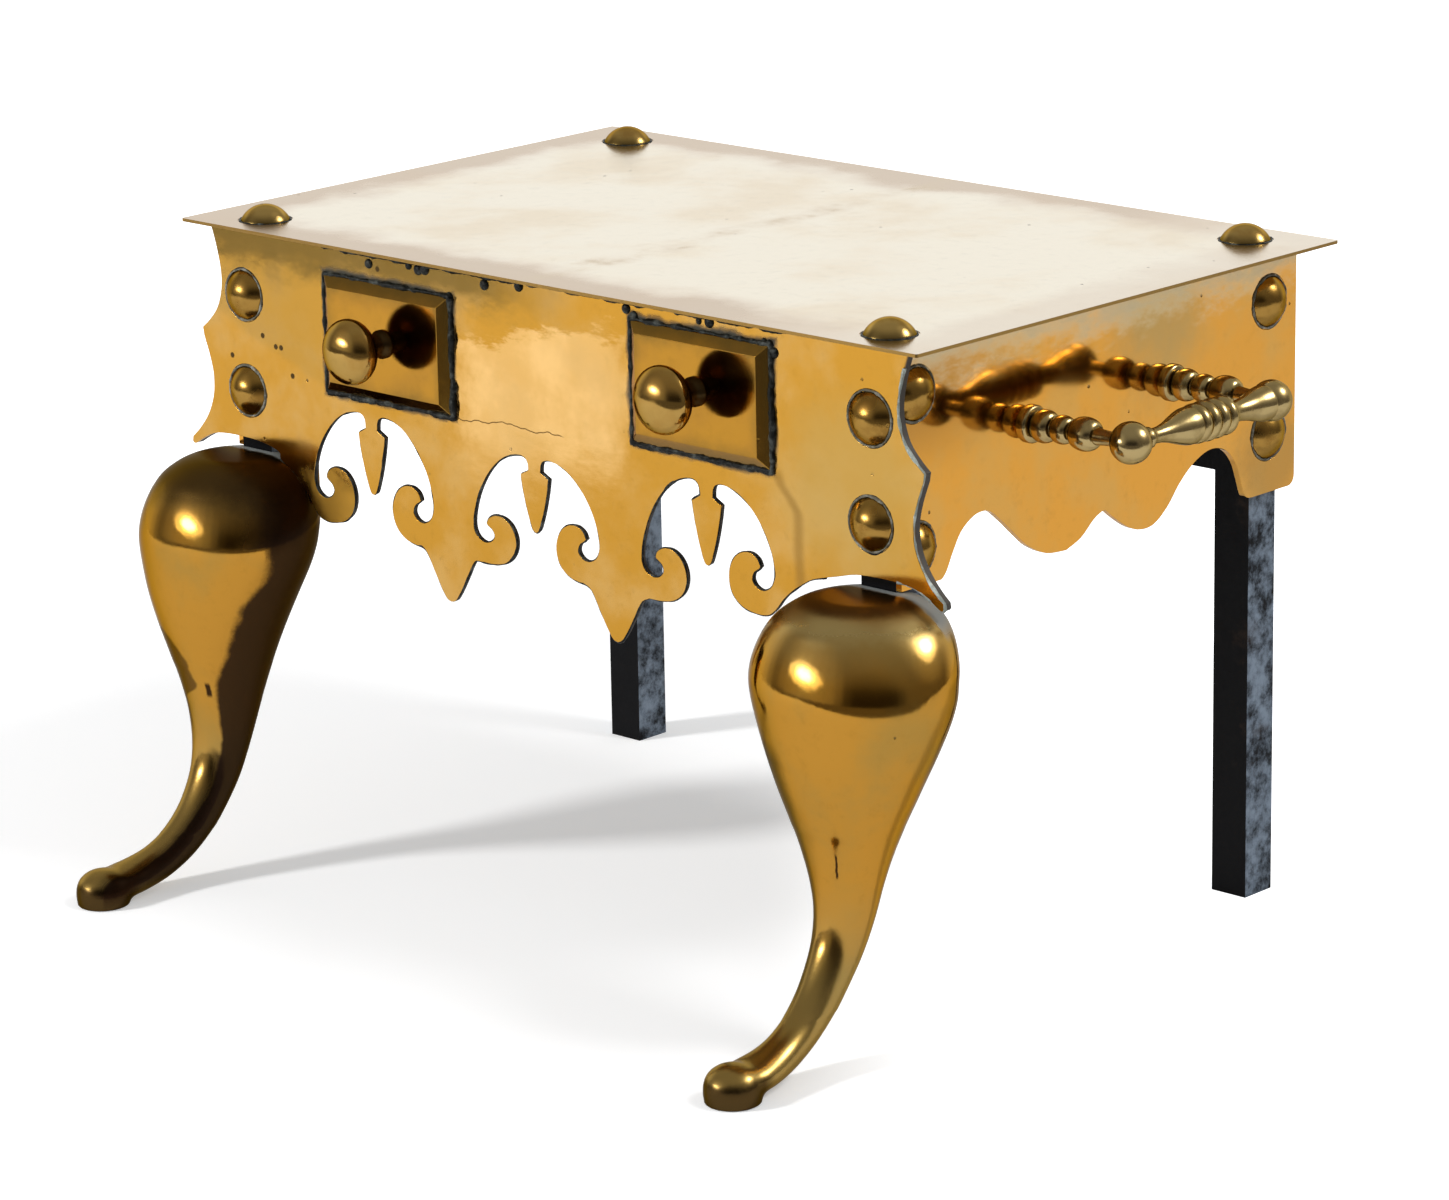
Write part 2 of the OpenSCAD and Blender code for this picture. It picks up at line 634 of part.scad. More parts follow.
module rear_leg(side) {
    color(iron) on_side(side) difference() {
        translate([post_x - bar / 2, rear_leg_y - bar / 2, 0]) cube([bar, bar, post_top_z]);
        side_stud_places() shank_hole(side_t, shank_grip);
        translate([top_stud_x, rear_leg_y, stand_h]) shank_hole(plate_t + rail_t, shank_grip - 3);
        cross_bar_end() rod(tenon_d + 2 * fit_gap, -1, tenon_l + 1);
    }
}

// The cross bar's end against the right rear leg, with Z into the leg
module cross_bar_end() {
    translate([post_x - bar / 2, rear_leg_y, cross_bar_z + cross_bar_h / 2])
        rotate([0, 90, 0]) children();
}

module rear_cross_bar() {
    half = post_x - bar / 2;
    color(iron) in_place() {
        translate([-half, rear_leg_y - cross_bar_t / 2, cross_bar_z])
            cube([2 * half, cross_bar_t, cross_bar_h]);
        for (m = [0, 1]) mirror([m, 0, 0]) cross_bar_end() rod(tenon_d, 0, tenon_l);
    }
}

// Flat rails on top of the posts, halved into each other at the corners
module long_rail(y) {
    color(iron) in_place() difference() {
        translate([-post_x - bar / 2, y - bar / 2, post_top_z]) cube([2 * post_x + bar, bar, rail_t]);
        for (side = [-1, 1]) {
            translate([side * post_x - bar / 2 - (side < 0 ? 1 : 0), y - bar / 2 - 1,
                       post_top_z + rail_t / 2])
                cube([bar + 1, bar + 2, rail_t]);
            translate([side * top_stud_x, y, stand_h]) rod(shank_hole_d, -2 * rail_t - plate_t, 0);
        }
    }
}

module side_rail(side) {
    color(iron) on_side(side) difference() {
        translate([post_x - bar / 2, front_post_y - bar / 2, post_top_z])
            cube([bar, rear_leg_y - front_post_y + bar, rail_t]);
        for (y = [front_post_y, rear_leg_y]) {
            translate([post_x - bar / 2 - 1, y - bar / 2 - (y < 0 ? 1 : 0), post_top_z - rail_t / 2])
                cube([bar + 2, bar + 1, rail_t]);
            translate([top_stud_x, y, stand_h]) rod(shank_hole_d, -2 * rail_t - plate_t, 0);
        }
    }
}

// Handles: Z points out of the side apron's face at each arm's root
module handle_root(end) {
    translate([side_face_x, handle_y + end * handle_span / 2, handle_z])
        rotate([0, 90, 0]) children();
}

arm_profile = concat(
    bead(0, 9.4, 3.9, 7.2), bead(10, 18.6, 3.7, 6.2), bead(19.8, 32.4, 3.7, 7.3),
    [[36, 3.3], [40.5, 3], [44.5, 3.5]]);
arm_drawn = 48;
ball_r = ball_d / 2;
// The grip's ends sit on flats of the corner balls, as wide as the grip is there
grip_front_r = 3.8;
grip_rear_r = 7.1;
front_seat = sqrt(ball_r * ball_r - grip_front_r * grip_front_r);
rear_seat = sqrt(ball_r * ball_r - grip_rear_r * grip_rear_r);

module handle_arm(side, end) {
    out = handle_reach - collar_t;
    seat = end < 0 ? front_seat : rear_seat;
    color(dark_brass) on_side(side) difference() {
        handle_root(end) translate([0, 0, collar_t]) {
            turned([for (q = arm_profile) [q[0] * (out - 2) / arm_drawn, q[1]]]);
            rod(7, (out - 2) * 44.4 / arm_drawn, out - ball_r / 2);
            translate([0, 0, out]) sphere(ball_r, $fn = 64);
            rod(handle_bolt_d, -collar_t - side_t - nut_t - thread_tail, 0);
        }
        grip_end(end) {
            rod(ball_d, seat, ball_d);
            rod(grip_tenon_d + 2 * fit_gap, seat - grip_tenon_l - fit_gap, seat + 1);
        }
    }
}

// The middle of a corner ball, with Z along the grip towards the other ball
module grip_end(end) {
    translate([side_face_x + handle_reach, handle_y + end * handle_span / 2, handle_z])
        rotate([end * 90, 0, 0]) children();
}

// Grip along Y, as [drawn distance from its front seat, radius]
grip_body = concat(
    [[0, 3.8], [1.6, 4.6], [3.2, 4.6], [4.4, 3.5]],
    smooth([[6, 3.3], [11, 3.6], [16, 4.7], [22, 6.6], [27, 7.9], [30.6, 8.1]], 3),
    bead(31.4, 36.8, 6.9, 8.6, 6), bead(37.4, 42.8, 6.9, 8.8, 6),
    bead(43.4, 48.8, 6.9, 8.7, 6), bead(49.4, 54.6, 6.6, 8.5, 6),
    smooth([[55.4, 5.8], [58.5, 4.7], [63, 4.6], [69, 5.5], [74.5, 7], [79, 7.8], [80.5, 7.8]], 3));

module handle_grip(side) {
    length = handle_span - front_seat - rear_seat;
    drawn = grip_body[len(grip_body) - 1][0];
    color(dark_brass) on_side(side) grip_end(-1) {
        translate([0, 0, front_seat]) turned([for (q = grip_body) [q[0] * length / drawn, q[1]]]);
        rod(grip_tenon_d, front_seat - grip_tenon_l, front_seat + 2);
        rod(grip_tenon_d, handle_span - rear_seat - 2, handle_span - rear_seat + grip_tenon_l);
    }
}

module handle_collars(side) {
    color(dark_brass) on_side(side) for (end = [-1, 1]) handle_root(end) difference() {
        turned([[0, collar_d / 2], [collar_t * 0.6, collar_d / 2], [collar_t, collar_d / 2 - 1]]);
        rod(bolt_hole_d, -1, collar_t + 1);
    }
}

module handle_nuts(side) {
    color(iron) on_side(side) for (end = [-1, 1]) handle_root(end)
        translate([0, 0, -side_t - nut_t]) hex_nut(bolt_hole_d);
}

top_plate();
front_apron();
side_apron(-1);  // side_apron_left
side_apron(1);  // side_apron_right
drawer_front(-1);  // drawer_front_left
drawer_front(1);  // drawer_front_right
drawer_knob(-1);  // drawer_knob_left
drawer_knob(1);  // drawer_knob_right
drawer_knob_nuts();
cabriole_leg(-1);  // cabriole_leg_left
cabriole_leg(1);  // cabriole_leg_right
leg_screws();
front_post(-1);  // front_post_left
front_post(1);  // front_post_right
rear_leg(-1);  // rear_leg_left
rear_leg(1);  // rear_leg_right
long_rail(front_post_y);  // front_rail
long_rail(rear_leg_y);  // rear_rail
side_rail(-1);  // side_rail_left
side_rail(1);  // side_rail_right
rear_cross_bar();
top_studs();
front_apron_studs();
side_studs(-1);  // side_studs_left
side_studs(1);  // side_studs_right
handle_arm(-1, -1);  // handle_arm_front_left
handle_arm(-1, 1);  // handle_arm_rear_left
handle_grip(-1);  // handle_grip_left
handle_arm(1, -1);  // handle_arm_front_right
handle_arm(1, 1);  // handle_arm_rear_right
handle_grip(1);  // handle_grip_right
handle_collars(-1);  // handle_collars_left
handle_collars(1);  // handle_collars_right
handle_nuts(-1);  // handle_nuts_left
handle_nuts(1);  // handle_nuts_right
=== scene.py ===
# %% [markdown]
# A footman stood on the hearth in front of the fire, to keep a kettle and plates warm. This
# one has a thin sheet brass top on an iron frame, two cast brass cabriole legs in front,
# pierced brass aprons, two sham drawers and a turned brass handle at each end. The exact
# sizes come from a CAD frame, so this lesson is about what the frame can't give: mirror
# smooth castings, softened edges, studs with their rings of old polish, and brass that has
# been rubbed for two hundred years.

# %% Load the CAD frame
import bmesh
import bpy
from math import asin, cos, pi, radians, sin, sqrt
from mathutils import Matrix, Vector


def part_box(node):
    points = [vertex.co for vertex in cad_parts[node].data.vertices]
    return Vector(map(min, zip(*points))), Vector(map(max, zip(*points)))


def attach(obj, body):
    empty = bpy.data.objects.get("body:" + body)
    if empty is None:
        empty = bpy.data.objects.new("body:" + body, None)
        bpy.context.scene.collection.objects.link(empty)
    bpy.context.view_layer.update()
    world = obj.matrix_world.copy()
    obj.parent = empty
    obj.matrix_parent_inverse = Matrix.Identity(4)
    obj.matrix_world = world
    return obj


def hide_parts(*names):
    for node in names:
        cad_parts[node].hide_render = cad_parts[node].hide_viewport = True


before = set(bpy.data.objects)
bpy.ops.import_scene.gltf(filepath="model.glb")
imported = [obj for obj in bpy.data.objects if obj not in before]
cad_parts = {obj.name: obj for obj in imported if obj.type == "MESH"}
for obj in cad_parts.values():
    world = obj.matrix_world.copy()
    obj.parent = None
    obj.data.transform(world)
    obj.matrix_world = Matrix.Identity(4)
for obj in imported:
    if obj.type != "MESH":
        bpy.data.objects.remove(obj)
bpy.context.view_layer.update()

# %% [markdown]
# The picture was taken with a long lens from the front right, a little above the top. A
# camera is easiest to place by three turns: yaw about the upright axis, pitch down, and a
# small roll, because each can be read from a different set of edges.

# %% Camera
YAW = radians(-42.98926)
PITCH = radians(15.64389)
ROLL = radians(-1.01739)
FOCAL_PIXELS, FRAME_PIXELS, SENSOR_MM = 5393.217, 1449, 36
CAMERA_SPOT = (1.600069, -1.686565, 0.789528)

def new_object(name, data):
    made = bpy.data.objects.new(name, data)
    bpy.context.scene.collection.objects.link(made)
    return made

forward = Vector((sin(YAW) * cos(PITCH), cos(YAW) * cos(PITCH), -sin(PITCH)))
level = Vector((cos(YAW), -sin(YAW), 0))
above = level.cross(forward)
right = cos(ROLL) * level + sin(ROLL) * above
above = cos(ROLL) * above - sin(ROLL) * level
camera = new_object("camera", bpy.data.cameras.new("camera"))
camera.data.sensor_width = SENSOR_MM
camera.data.lens = SENSOR_MM * FOCAL_PIXELS / FRAME_PIXELS
turned_to = Matrix((right, above, -forward)).transposed().to_4x4()
camera.matrix_world = Matrix.Translation(CAMERA_SPOT) @ turned_to
bpy.context.scene.camera = camera
bpy.context.scene.view_settings.view_transform = "Standard"
print("camera", [round(v, 3) for v in camera.location], "lens", round(camera.data.lens, 1))

# %% [markdown]
# Polished brass has hardly any colour of its own: it shows what stands round it. So the
# room matters as much as the metal. Both are node trees, and those get long. A helper adds
# a node and sets or links its sockets by name or in order. A small class then stands for a
# number on its way through a tree, so that sums with it can be written as sums.

# %% Node helpers
def put(tree, socket, value):
    value = getattr(value, "socket", value)
    if isinstance(value, bpy.types.NodeSocket):
        tree.links.new(value, socket)
    else:
        socket.default_value = value

def add(tree, kind, props=None, *in_order, **by_name):
    made = tree.nodes.new(kind if "Node" in kind else "ShaderNode" + kind)
    for key, value in (props or {}).items():
        setattr(made, key, value)
    for i, value in enumerate(in_order):
        put(tree, made.inputs[i], value)
    for key, value in by_name.items():
        put(tree, made.inputs[key.replace("_", " ")], value)
    return made

class Number:
    def __init__(self, socket):
        self.socket = socket
        self.tree = socket.id_data

    def worked(self, operation, a, b=0.0):
        return Number(add(self.tree, "Math", {"operation": operation}, a, b).outputs[0])

    def __add__(self, other):
        return self.worked("ADD", self, other)

    def __sub__(self, other):
        return self.worked("SUBTRACT", self, other)

    def __rsub__(self, other):
        return self.worked("SUBTRACT", other, self)

    def __mul__(self, other):
        return self.worked("MULTIPLY", self, other)

    def __abs__(self):
        return self.worked("ABSOLUTE", self)

    def sign(self):
        return self.worked("SIGN", self)

    def larger(self, other):
        return self.worked("MAXIMUM", self, other)

    def smaller(self, other):
        return self.worked("MINIMUM", self, other)

def fade(value, start, end):
    made = add(value.tree, "MapRange", {"interpolation_type": "SMOOTHSTEP"}, Value=value, From_Min=start,
               From_Max=end)
    return Number(made.outputs[0])

def between(value, low, high, soft):
    return fade(value, low - soft, low + soft) * (1 - fade(value, high - soft, high + soft))

def blend(factor, a, b):
    made = add(factor.tree, "Mix", {"data_type": "RGBA"}, factor)
    for slot, colour in ((6, a), (7, b)):
        put(factor.tree, made.inputs[slot], (*colour, 1) if isinstance(colour, tuple) else colour)
    return made.outputs[2]

def along(vector, x, y, z):
    made = add(vector.id_data, "VectorMath", {"operation": "DOT_PRODUCT"}, vector, (x, y, z))
    return Number(made.outputs["Value"])

def distance(vector, point):
    made = add(vector.id_data, "VectorMath", {"operation": "DISTANCE"}, vector, tuple(point))
    return Number(made.outputs["Value"])

def rays(tree):
    path = add(tree, "LightPath")
    return [Number(path.outputs["Is " + kind + " Ray"]) for kind in ("Camera", "Glossy", "Transmission")]

# %% [markdown]
# The stand is on a sheet of white paper that ends a little way in front of it. Beyond that
# edge the room is dim, and that is what draws the sharp line across each knee. The world
# is white to the camera. For reflections it is white behind the stand and dim in front,
# darkest straight towards the camera, with a glow where each lamp's reflector stands. For
# plain light it is an even grey. The paper is lit a little from within, so that it comes
# out white, and less so round the stand, where the shadows fall.

# %% Room
LEFT_LAMP, RIGHT_LAMP = (-0.13, -0.217, 0.166), (0.75, 0.235, 1.0)
LEFT_SHINE, RIGHT_SHINE = (-0.44, -0.86, 0.25), (0.557, 0.557, 0.616)
TO_CAMERA = Vector((-forward.x, -forward.y, 0)).normalized()
DARKEST, DIM_SIDES, DIM_OVERHEAD, UNDERFOOT = (
    (0.03, 0.026, 0.024), (0.17, 0.16, 0.15), (0.34, 0.33, 0.3), (0.15, 0.14, 0.13))
GLOW, PAPER_WHITE, ABOVE_PAPER = (0.7, 0.68, 0.62), (0.97, 0.97, 0.96), (0.42, 0.41, 0.37)
PLAIN_LIGHT = (0.38, 0.38, 0.385)
world = bpy.data.worlds.new("room")
bpy.context.scene.world = world
world.use_nodes = True
tree = world.node_tree
tree.nodes.clear()
looking = add(tree, "TexCoord").outputs["Generated"]
in_front, height = along(looking, *TO_CAMERA), along(looking, 0, 0, 1)
low = blend(fade(in_front, 0.72, 0.95), DIM_SIDES, DARKEST)
dim = blend(fade(height, 0.1, 0.95), low, DIM_OVERHEAD)
for shine, reach in ((LEFT_SHINE, 0.76), (RIGHT_SHINE, 0.8)):
    glow = fade(along(looking, *Vector(shine).normalized()), reach, 1.0)
    dim = blend(glow * 0.55, dim, GLOW)
paper = blend(fade(height, 0.34, 0.64), PAPER_WHITE, ABOVE_PAPER)
dim = blend(fade(height, -0.05, 0.0), UNDERFOOT, dim)
room = blend(fade(in_front, -0.7, -0.2), paper, dim)
camera_ray, glossy_ray, glass_ray = rays(tree)
colour = blend(camera_ray.larger(glass_ray), blend(glossy_ray, PLAIN_LIGHT, room), (1, 1, 1))
background = add(tree, "Background", Color=colour, Strength=1.0)
add(tree, "OutputWorld", Surface=background.outputs[0])
print("room", len(tree.nodes), "nodes")

# %% Paper floor
ACROSS = Vector((-TO_CAMERA.y, TO_CAMERA.x, 0))
PAPER_FRONT, PAPER_BACK, PAPER_SIDE = 0.8, 4.0, 1.8
SHADOW_MIDDLE = (-0.15, -0.08, 0)

def blank_material(name):
    made = bpy.data.materials.new(name)
    made.use_nodes = True
    made.node_tree.nodes.clear()
    return made, made.node_tree

mesh = bpy.data.meshes.new("floor")
mesh.from_pydata([tuple(TO_CAMERA * d + ACROSS * w) for d, w in
                  ((PAPER_FRONT, -PAPER_SIDE), (PAPER_FRONT, PAPER_SIDE), (-PAPER_BACK, PAPER_SIDE),
                   (-PAPER_BACK, -PAPER_SIDE))], [], [(0, 1, 2, 3)])
mesh.update()
if mesh.polygons[0].normal.z < 0:
    mesh.flip_normals()
floor = new_object("floor", mesh)
white, tree = blank_material("white_paper")
camera_ray, glossy_ray, glass_ray = rays(tree)
spot = add(tree, "TexCoord").outputs["Object"]
clear = fade(distance(spot, SHADOW_MIDDLE), 0.35, 0.95).larger(fade(along(spot, *ACROSS), 0.03, 0.17))
lifted = glossy_ray.larger(glass_ray) * 0.12 + camera_ray * (clear * 0.7 + 0.36)
lift = add(tree, "Emission", Color=(0.97, 0.99, 1, 1), Strength=lifted)
body = add(tree, "BsdfDiffuse", Color=(0.82, 0.82, 0.82, 1))
both = add(tree, "AddShader", None, body.outputs[0], lift.outputs[0])
add(tree, "OutputMaterial", Surface=both.outputs[0])
floor.data.materials.append(white)
print("floor corners", len(floor.data.vertices), "front edge at", PAPER_FRONT, "m")

# %% [markdown]
# Two soft lamps light it. One stands low on the front left and throws the long wedge of
# shadow behind the left leg. The other is high on the right and throws the pale shadow to
# the left. The bright spots on the knees come from the reflectors of the lamps, which stand
# a little aside from the lamps themselves. So the lamps only light the scene, and the
# reflectors are only seen in the polished metal. Each reflector is a small bright disc
# with a wide faint one behind it, so that its spot has a soft rim.

# %% Lamps
LAMP_DISTANCE, RIM_DISTANCE, AIM_HEIGHT = 5.0, 5.1, 0.15
CORE_BRIGHTNESS, RIM_BRIGHTNESS = 45, 5
REFLECTORS = {"left": (LEFT_SHINE, (1.5, 0.65), (3.2, 1.5)), "right": (RIGHT_SHINE, (1.5, 1.2), (3.2, 2.6))}

def soft_lamp(name, towards, away, wide, tall, power, only_seen):
    data = bpy.data.lights.new(name, "AREA")
    data.shape = "ELLIPSE"
    data.size, data.size_y = wide, tall
    data.energy = power
    made = new_object(name, data)
    direction = Vector(towards).normalized()
    made.location = Vector((0, 0, AIM_HEIGHT)) + direction * away
    made.rotation_euler = direction.to_track_quat("Z", "Y").to_euler()
    made.visible_glossy = only_seen
    made.visible_diffuse = not only_seen

soft_lamp("lamp_left", LEFT_LAMP, LAMP_DISTANCE, 0.75, 0.75, 158, False)
soft_lamp("lamp_right", RIGHT_LAMP, LAMP_DISTANCE, 1.25, 1.25, 63, False)
for side, (way, core, rim) in REFLECTORS.items():
    for name, away, brightness, (wide, tall) in (("reflector_", LAMP_DISTANCE, CORE_BRIGHTNESS, core),
                                                 ("reflector_rim_", RIM_DISTANCE, RIM_BRIGHTNESS, rim)):
        soft_lamp(name + side, way, away, wide, tall, brightness * wide * tall, True)

# %% [markdown]
# Brass is gold where it is rubbed and browner, paler or greener where it isn't. One recipe
# makes all of these pieces: a metal colour that drifts between two tones in soft clouds, a
# roughness that drifts with it, faint rubbing lines, and small dark pits. It reads Object
# coordinates, so the clouds stay fixed on each piece. Each material is the same recipe
# with other numbers, and may add its own marks. A mark is a mask, a colour and a dullness,
# and a mask is a function that is told where on the piece it is.

# %% Brass recipe
class Spot:
    def __init__(self, tree):
        self.tree = tree
        given = add(tree, "TexCoord")
        self.place, self.normal = given.outputs["Object"], given.outputs["Normal"]
        parts = add(tree, "SeparateXYZ", None, self.place).outputs
        self.x, self.y, self.z = [Number(part) for part in parts]

    def clouds(self, size, detail=4.0, roughness=0.55, stretch=None):
        place = self.place
        if stretch:
            place = add(self.tree, "Mapping", Vector=place, Scale=stretch).outputs[0]
        made = add(self.tree, "TexNoise", Vector=place, Scale=1.0 / size, Detail=detail, Roughness=roughness)
        return Number(made.outputs["Fac"])

    def ragged(self, size, reach):
        return (self.clouds(size, 5, 0.65) - 0.5) * reach

    def facing(self, x, y, z):
        return along(self.normal, x, y, z)

    def bump(self, strength, distance, height, **under):
        made = add(self.tree, "Bump", Strength=strength, Distance=distance, Height=height, **under)
        return made.outputs[0]

def new_material(name):
    made, tree = blank_material(name)
    shader = add(tree, "BsdfPrincipled")
    add(tree, "OutputMaterial", Surface=shader.outputs[0])
    return made, shader, Spot(tree)

def set_shader(shader, **sockets):
    for key, value in sockets.items():
        put(shader.id_data, shader.inputs[key.replace("_", " ")], value)

PIT = (0.12, 0.08, 0.03)
PITS_PER_METRE, BUMP_DEPTH, LINE_SIZE = 90.0, 0.0002, 0.0012
DULL_COAT = 0.5

def brass(name, gold, cloud, amount, size, polish, lines, wave=0.0, marks=(), rub=0.03, rim=(1, 1, 1)):
    made, shader, at = new_material(name)
    drift = fade(at.clouds(size, 5), 0.42, 0.68)
    colour = blend(drift * amount, gold, cloud)
    colour = blend(fade(at.clouds(0.006, 6, 0.7), 0.5, 0.8) * 0.25, colour, tuple(0.55 * c for c in gold))
    rough = drift * (polish[1] - polish[0]) + polish[0]
    holes = Number(add(at.tree, "TexVoronoi", Vector=at.place, Scale=PITS_PER_METRE).outputs["Distance"])
    pits = (1 - fade(holes, 0.05, 0.09)) * fade(at.clouds(0.03, 2), 0.55, 0.65)
    colour = blend(pits * 0.8, colour, PIT)
    metal = 1.0
    for mask, shade, dullness in marks:
        strength = mask(at)
        colour = blend(strength, colour, shade)
        rough = rough.larger(strength * dullness)
        if dullness > DULL_COAT:
            metal = (strength * -0.85 + 1.0) * metal
    bump = at.bump(rub, BUMP_DEPTH, at.clouds(LINE_SIZE, 3, 0.6, lines))
    if wave:
        bump = at.bump(1.0, wave, at.clouds(0.06, 1.5, 0.4), Normal=bump)
    bump = at.bump(0.6, BUMP_DEPTH, 1 - pits, Normal=bump)
    set_shader(shader, Base_Color=colour, Metallic=metal, Roughness=rough, Normal=bump,
               Specular_Tint=(*rim, 1))
    return made

GOLD, BROWN_GOLD = (0.64, 0.32, 0.04), (0.4, 0.2, 0.04)
BROWN_RIM = (0.6, 0.5, 0.35)

# %% [markdown]
# The top is a plain sheet, so the CAD node is already right. It is paler than the rest,
# with a duller pinkish border where dust gathers and a faint mark across the middle where
# two polishings meet.

# %% Top plate
plate_low, plate_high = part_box("top_plate")
PLATE_MID, PLATE_HALF = (plate_low + plate_high) / 2, (plate_high - plate_low) / 2

def plate_border(at):
    inside = (PLATE_HALF.x - abs(at.x)).smaller(PLATE_HALF.y - abs(at.y - PLATE_MID.y))
    edge = 1 - fade(inside - at.clouds(0.05, 5) * 0.05, -0.012, 0.014)
    return edge * (fade(at.x, 0.1, 0.2) * -0.35 + 0.75)

def plate_mark(at):
    away = abs(at.x + at.clouds(0.04, 5) * 0.03 - 0.012)
    return (1 - fade(away, 0.002, 0.012)) * fade(at.clouds(0.03, 4), 0.35, 0.7)

def plate_edge(at):
    return 1 - fade(at.facing(0, 0, 1), 0.3, 0.7)

plate_brass = brass(
    "plate_brass", (0.9, 0.82, 0.655), (0.88, 0.72, 0.5), 0.6, 0.07, (0.13, 0.24), (1, 12, 1), marks=[
        (plate_border, (0.64, 0.48, 0.34), 0.38), (plate_mark, (0.72, 0.58, 0.4), 0.35),
        (plate_edge, (0.42, 0.25, 0.07), 0.3)])

def dress(node, material):
    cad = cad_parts[node]
    cad.data.materials.clear()
    cad.data.materials.append(material)

dress("top_plate", plate_brass)
print("plate", [round(v, 4) for v in PLATE_HALF * 2])

# %% [markdown]
# The aprons and drawer fronts are cast or cut sheets whose edges have been softened by
# polishing. A copy of each CAD node is merged, its flat faces are joined up, and a small
# bevel is put on every sharp edge. The bevel is what catches the light along an edge.

# %% Softened copies
MERGE = 1e-6
SHARP = radians(32)

def merged(mesh):
    work = bmesh.new()
    work.from_mesh(mesh)
    bmesh.ops.remove_doubles(work, verts=work.verts, dist=MERGE)
    return work

def softened(node, name, width, material):
    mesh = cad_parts[node].data.copy()
    mesh.name = name
    work = merged(mesh)
    bmesh.ops.dissolve_limit(work, angle_limit=radians(0.5), verts=work.verts, edges=work.edges)
    work.to_mesh(mesh)
    work.free()
    made = new_object(name, mesh)
    edge = made.modifiers.new("edge", "BEVEL")
    edge.width = width
    edge.segments = 2
    edge.limit_method = "ANGLE"
    edge.angle_limit = SHARP
    mesh.shade_smooth()
    made.modifiers.new("flat_faces", "WEIGHTED_NORMAL").weight = 100
    settle(made, material, [node])

def bake(piece):
    bpy.context.view_layer.update()
    seen_by = bpy.context.evaluated_depsgraph_get()
    mesh = bpy.data.meshes.new_from_object(piece.evaluated_get(seen_by))
    piece.modifiers.clear()
    piece.data = mesh

def settle(piece, material, nodes=()):
    bake(piece)
    piece.data.materials.clear()
    piece.data.materials.append(material)
    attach(piece, "root")
    if nodes:
        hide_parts(*nodes)

# %% [markdown]
# The front apron shows most of the story. It is olive along the top and at the right end, pale
# where the cloth has rubbed between the drawers, black close round the drawer fronts, and
# bare of polish at the back. Its upper left corner is painted darker, as a painted reflection
# of the dim room beyond the paper's edge. A crack runs between the drawers, and a brown run
# hangs from the right one. Each of these is one mask.

# %% Front apron
APRON_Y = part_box("front_apron")[0].y
LEFT_DRAWER, RIGHT_DRAWER = DRAWERS = [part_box("drawer_front_left"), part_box("drawer_front_right")]

def past_drawers(at):
    away = []
    for low, high in DRAWERS:
        mid, half = (low + high) / 2, (high - low) / 2
        away.append((abs(at.x - mid.x) - half.x).larger(abs(at.z - mid.z) - half.z))
    return away[0].smaller(away[1])

def round_drawers(at):
    return 1 - fade(past_drawers(at) - at.clouds(0.01, 4) * 0.006, -0.002, 0.0012)

def unpolished_back(at):
    return fade(at.y, APRON_Y + 0.0002, APRON_Y + 0.0016)

def rubbed_middle(at):
    x = at.x + at.clouds(0.03, 6, 0.7) * 0.05
    z = at.z + at.clouds(0.03, 6, 0.7, (1, 1, 3)) * 0.05 - at.x * 0.18
    across = between(x, LEFT_DRAWER[1].x + 0.03, RIGHT_DRAWER[0].x + 0.02, 0.014)
    up = fade(z, 0.222, 0.262) * (1 - fade(z, 0.297, 0.304))
    return across * up * (fade(at.clouds(0.035, 5), 0.4, 0.62) * 0.4 + 0.6)

# Darker and duller along the top of the left half.
def darker_top(at):
    z = at.z + at.clouds(0.02, 6, 0.7, (1, 1, 2)) * 0.03
    return fade(z, 0.289, 0.307) * (1 - fade(at.x, -0.05, 0.03)) * 0.85

def crack_between_drawers(at):
    away = abs(at.z + at.clouds(0.03, 3, stretch=(1, 1, 0)) * 0.016 - 0.2395)
    return (1 - fade(away, 0.0001, 0.0004)) * between(at.x, LEFT_DRAWER[1].x, 0.012, 0.002)

def run_below_drawer(at):
    bend = at.clouds(0.02, 4, stretch=(0, 1, 1)) * 0.006
    away = abs(at.x + bend + fade(at.z, 0.218, 0.238) * 0.0115 - 0.1515)
    return (1 - fade(away, 0.0004, 0.0046)) * between(at.z, 0.182, 0.237, 0.003) * 0.55

def patch(middle, reach, strength):
    def mask(at):
        away = distance(at.place, middle) + at.ragged(0.03, 0.05)
        return (1 - fade(away, 0.3 * reach, reach)) * strength
    return mask

# The upper left corner is painted darker: a painted reflection of the dim room beyond the paper's edge.
def painted_reflection_corner(at):
    up = at.z + at.x * 0.35 + at.ragged(0.03, 0.012)
    return fade(up, 0.182, 0.188) * (1 - fade(at.x, -0.16, -0.09)) * 0.5

def filled_holes(spots, radius):
    def mask(at):
        nearest = distance(at.place, spots[0])
        for spot in spots[1:]:
            nearest = nearest.smaller(distance(at.place, spot))
        return 1 - fade(nearest, 0.6 * radius, radius)
    return mask

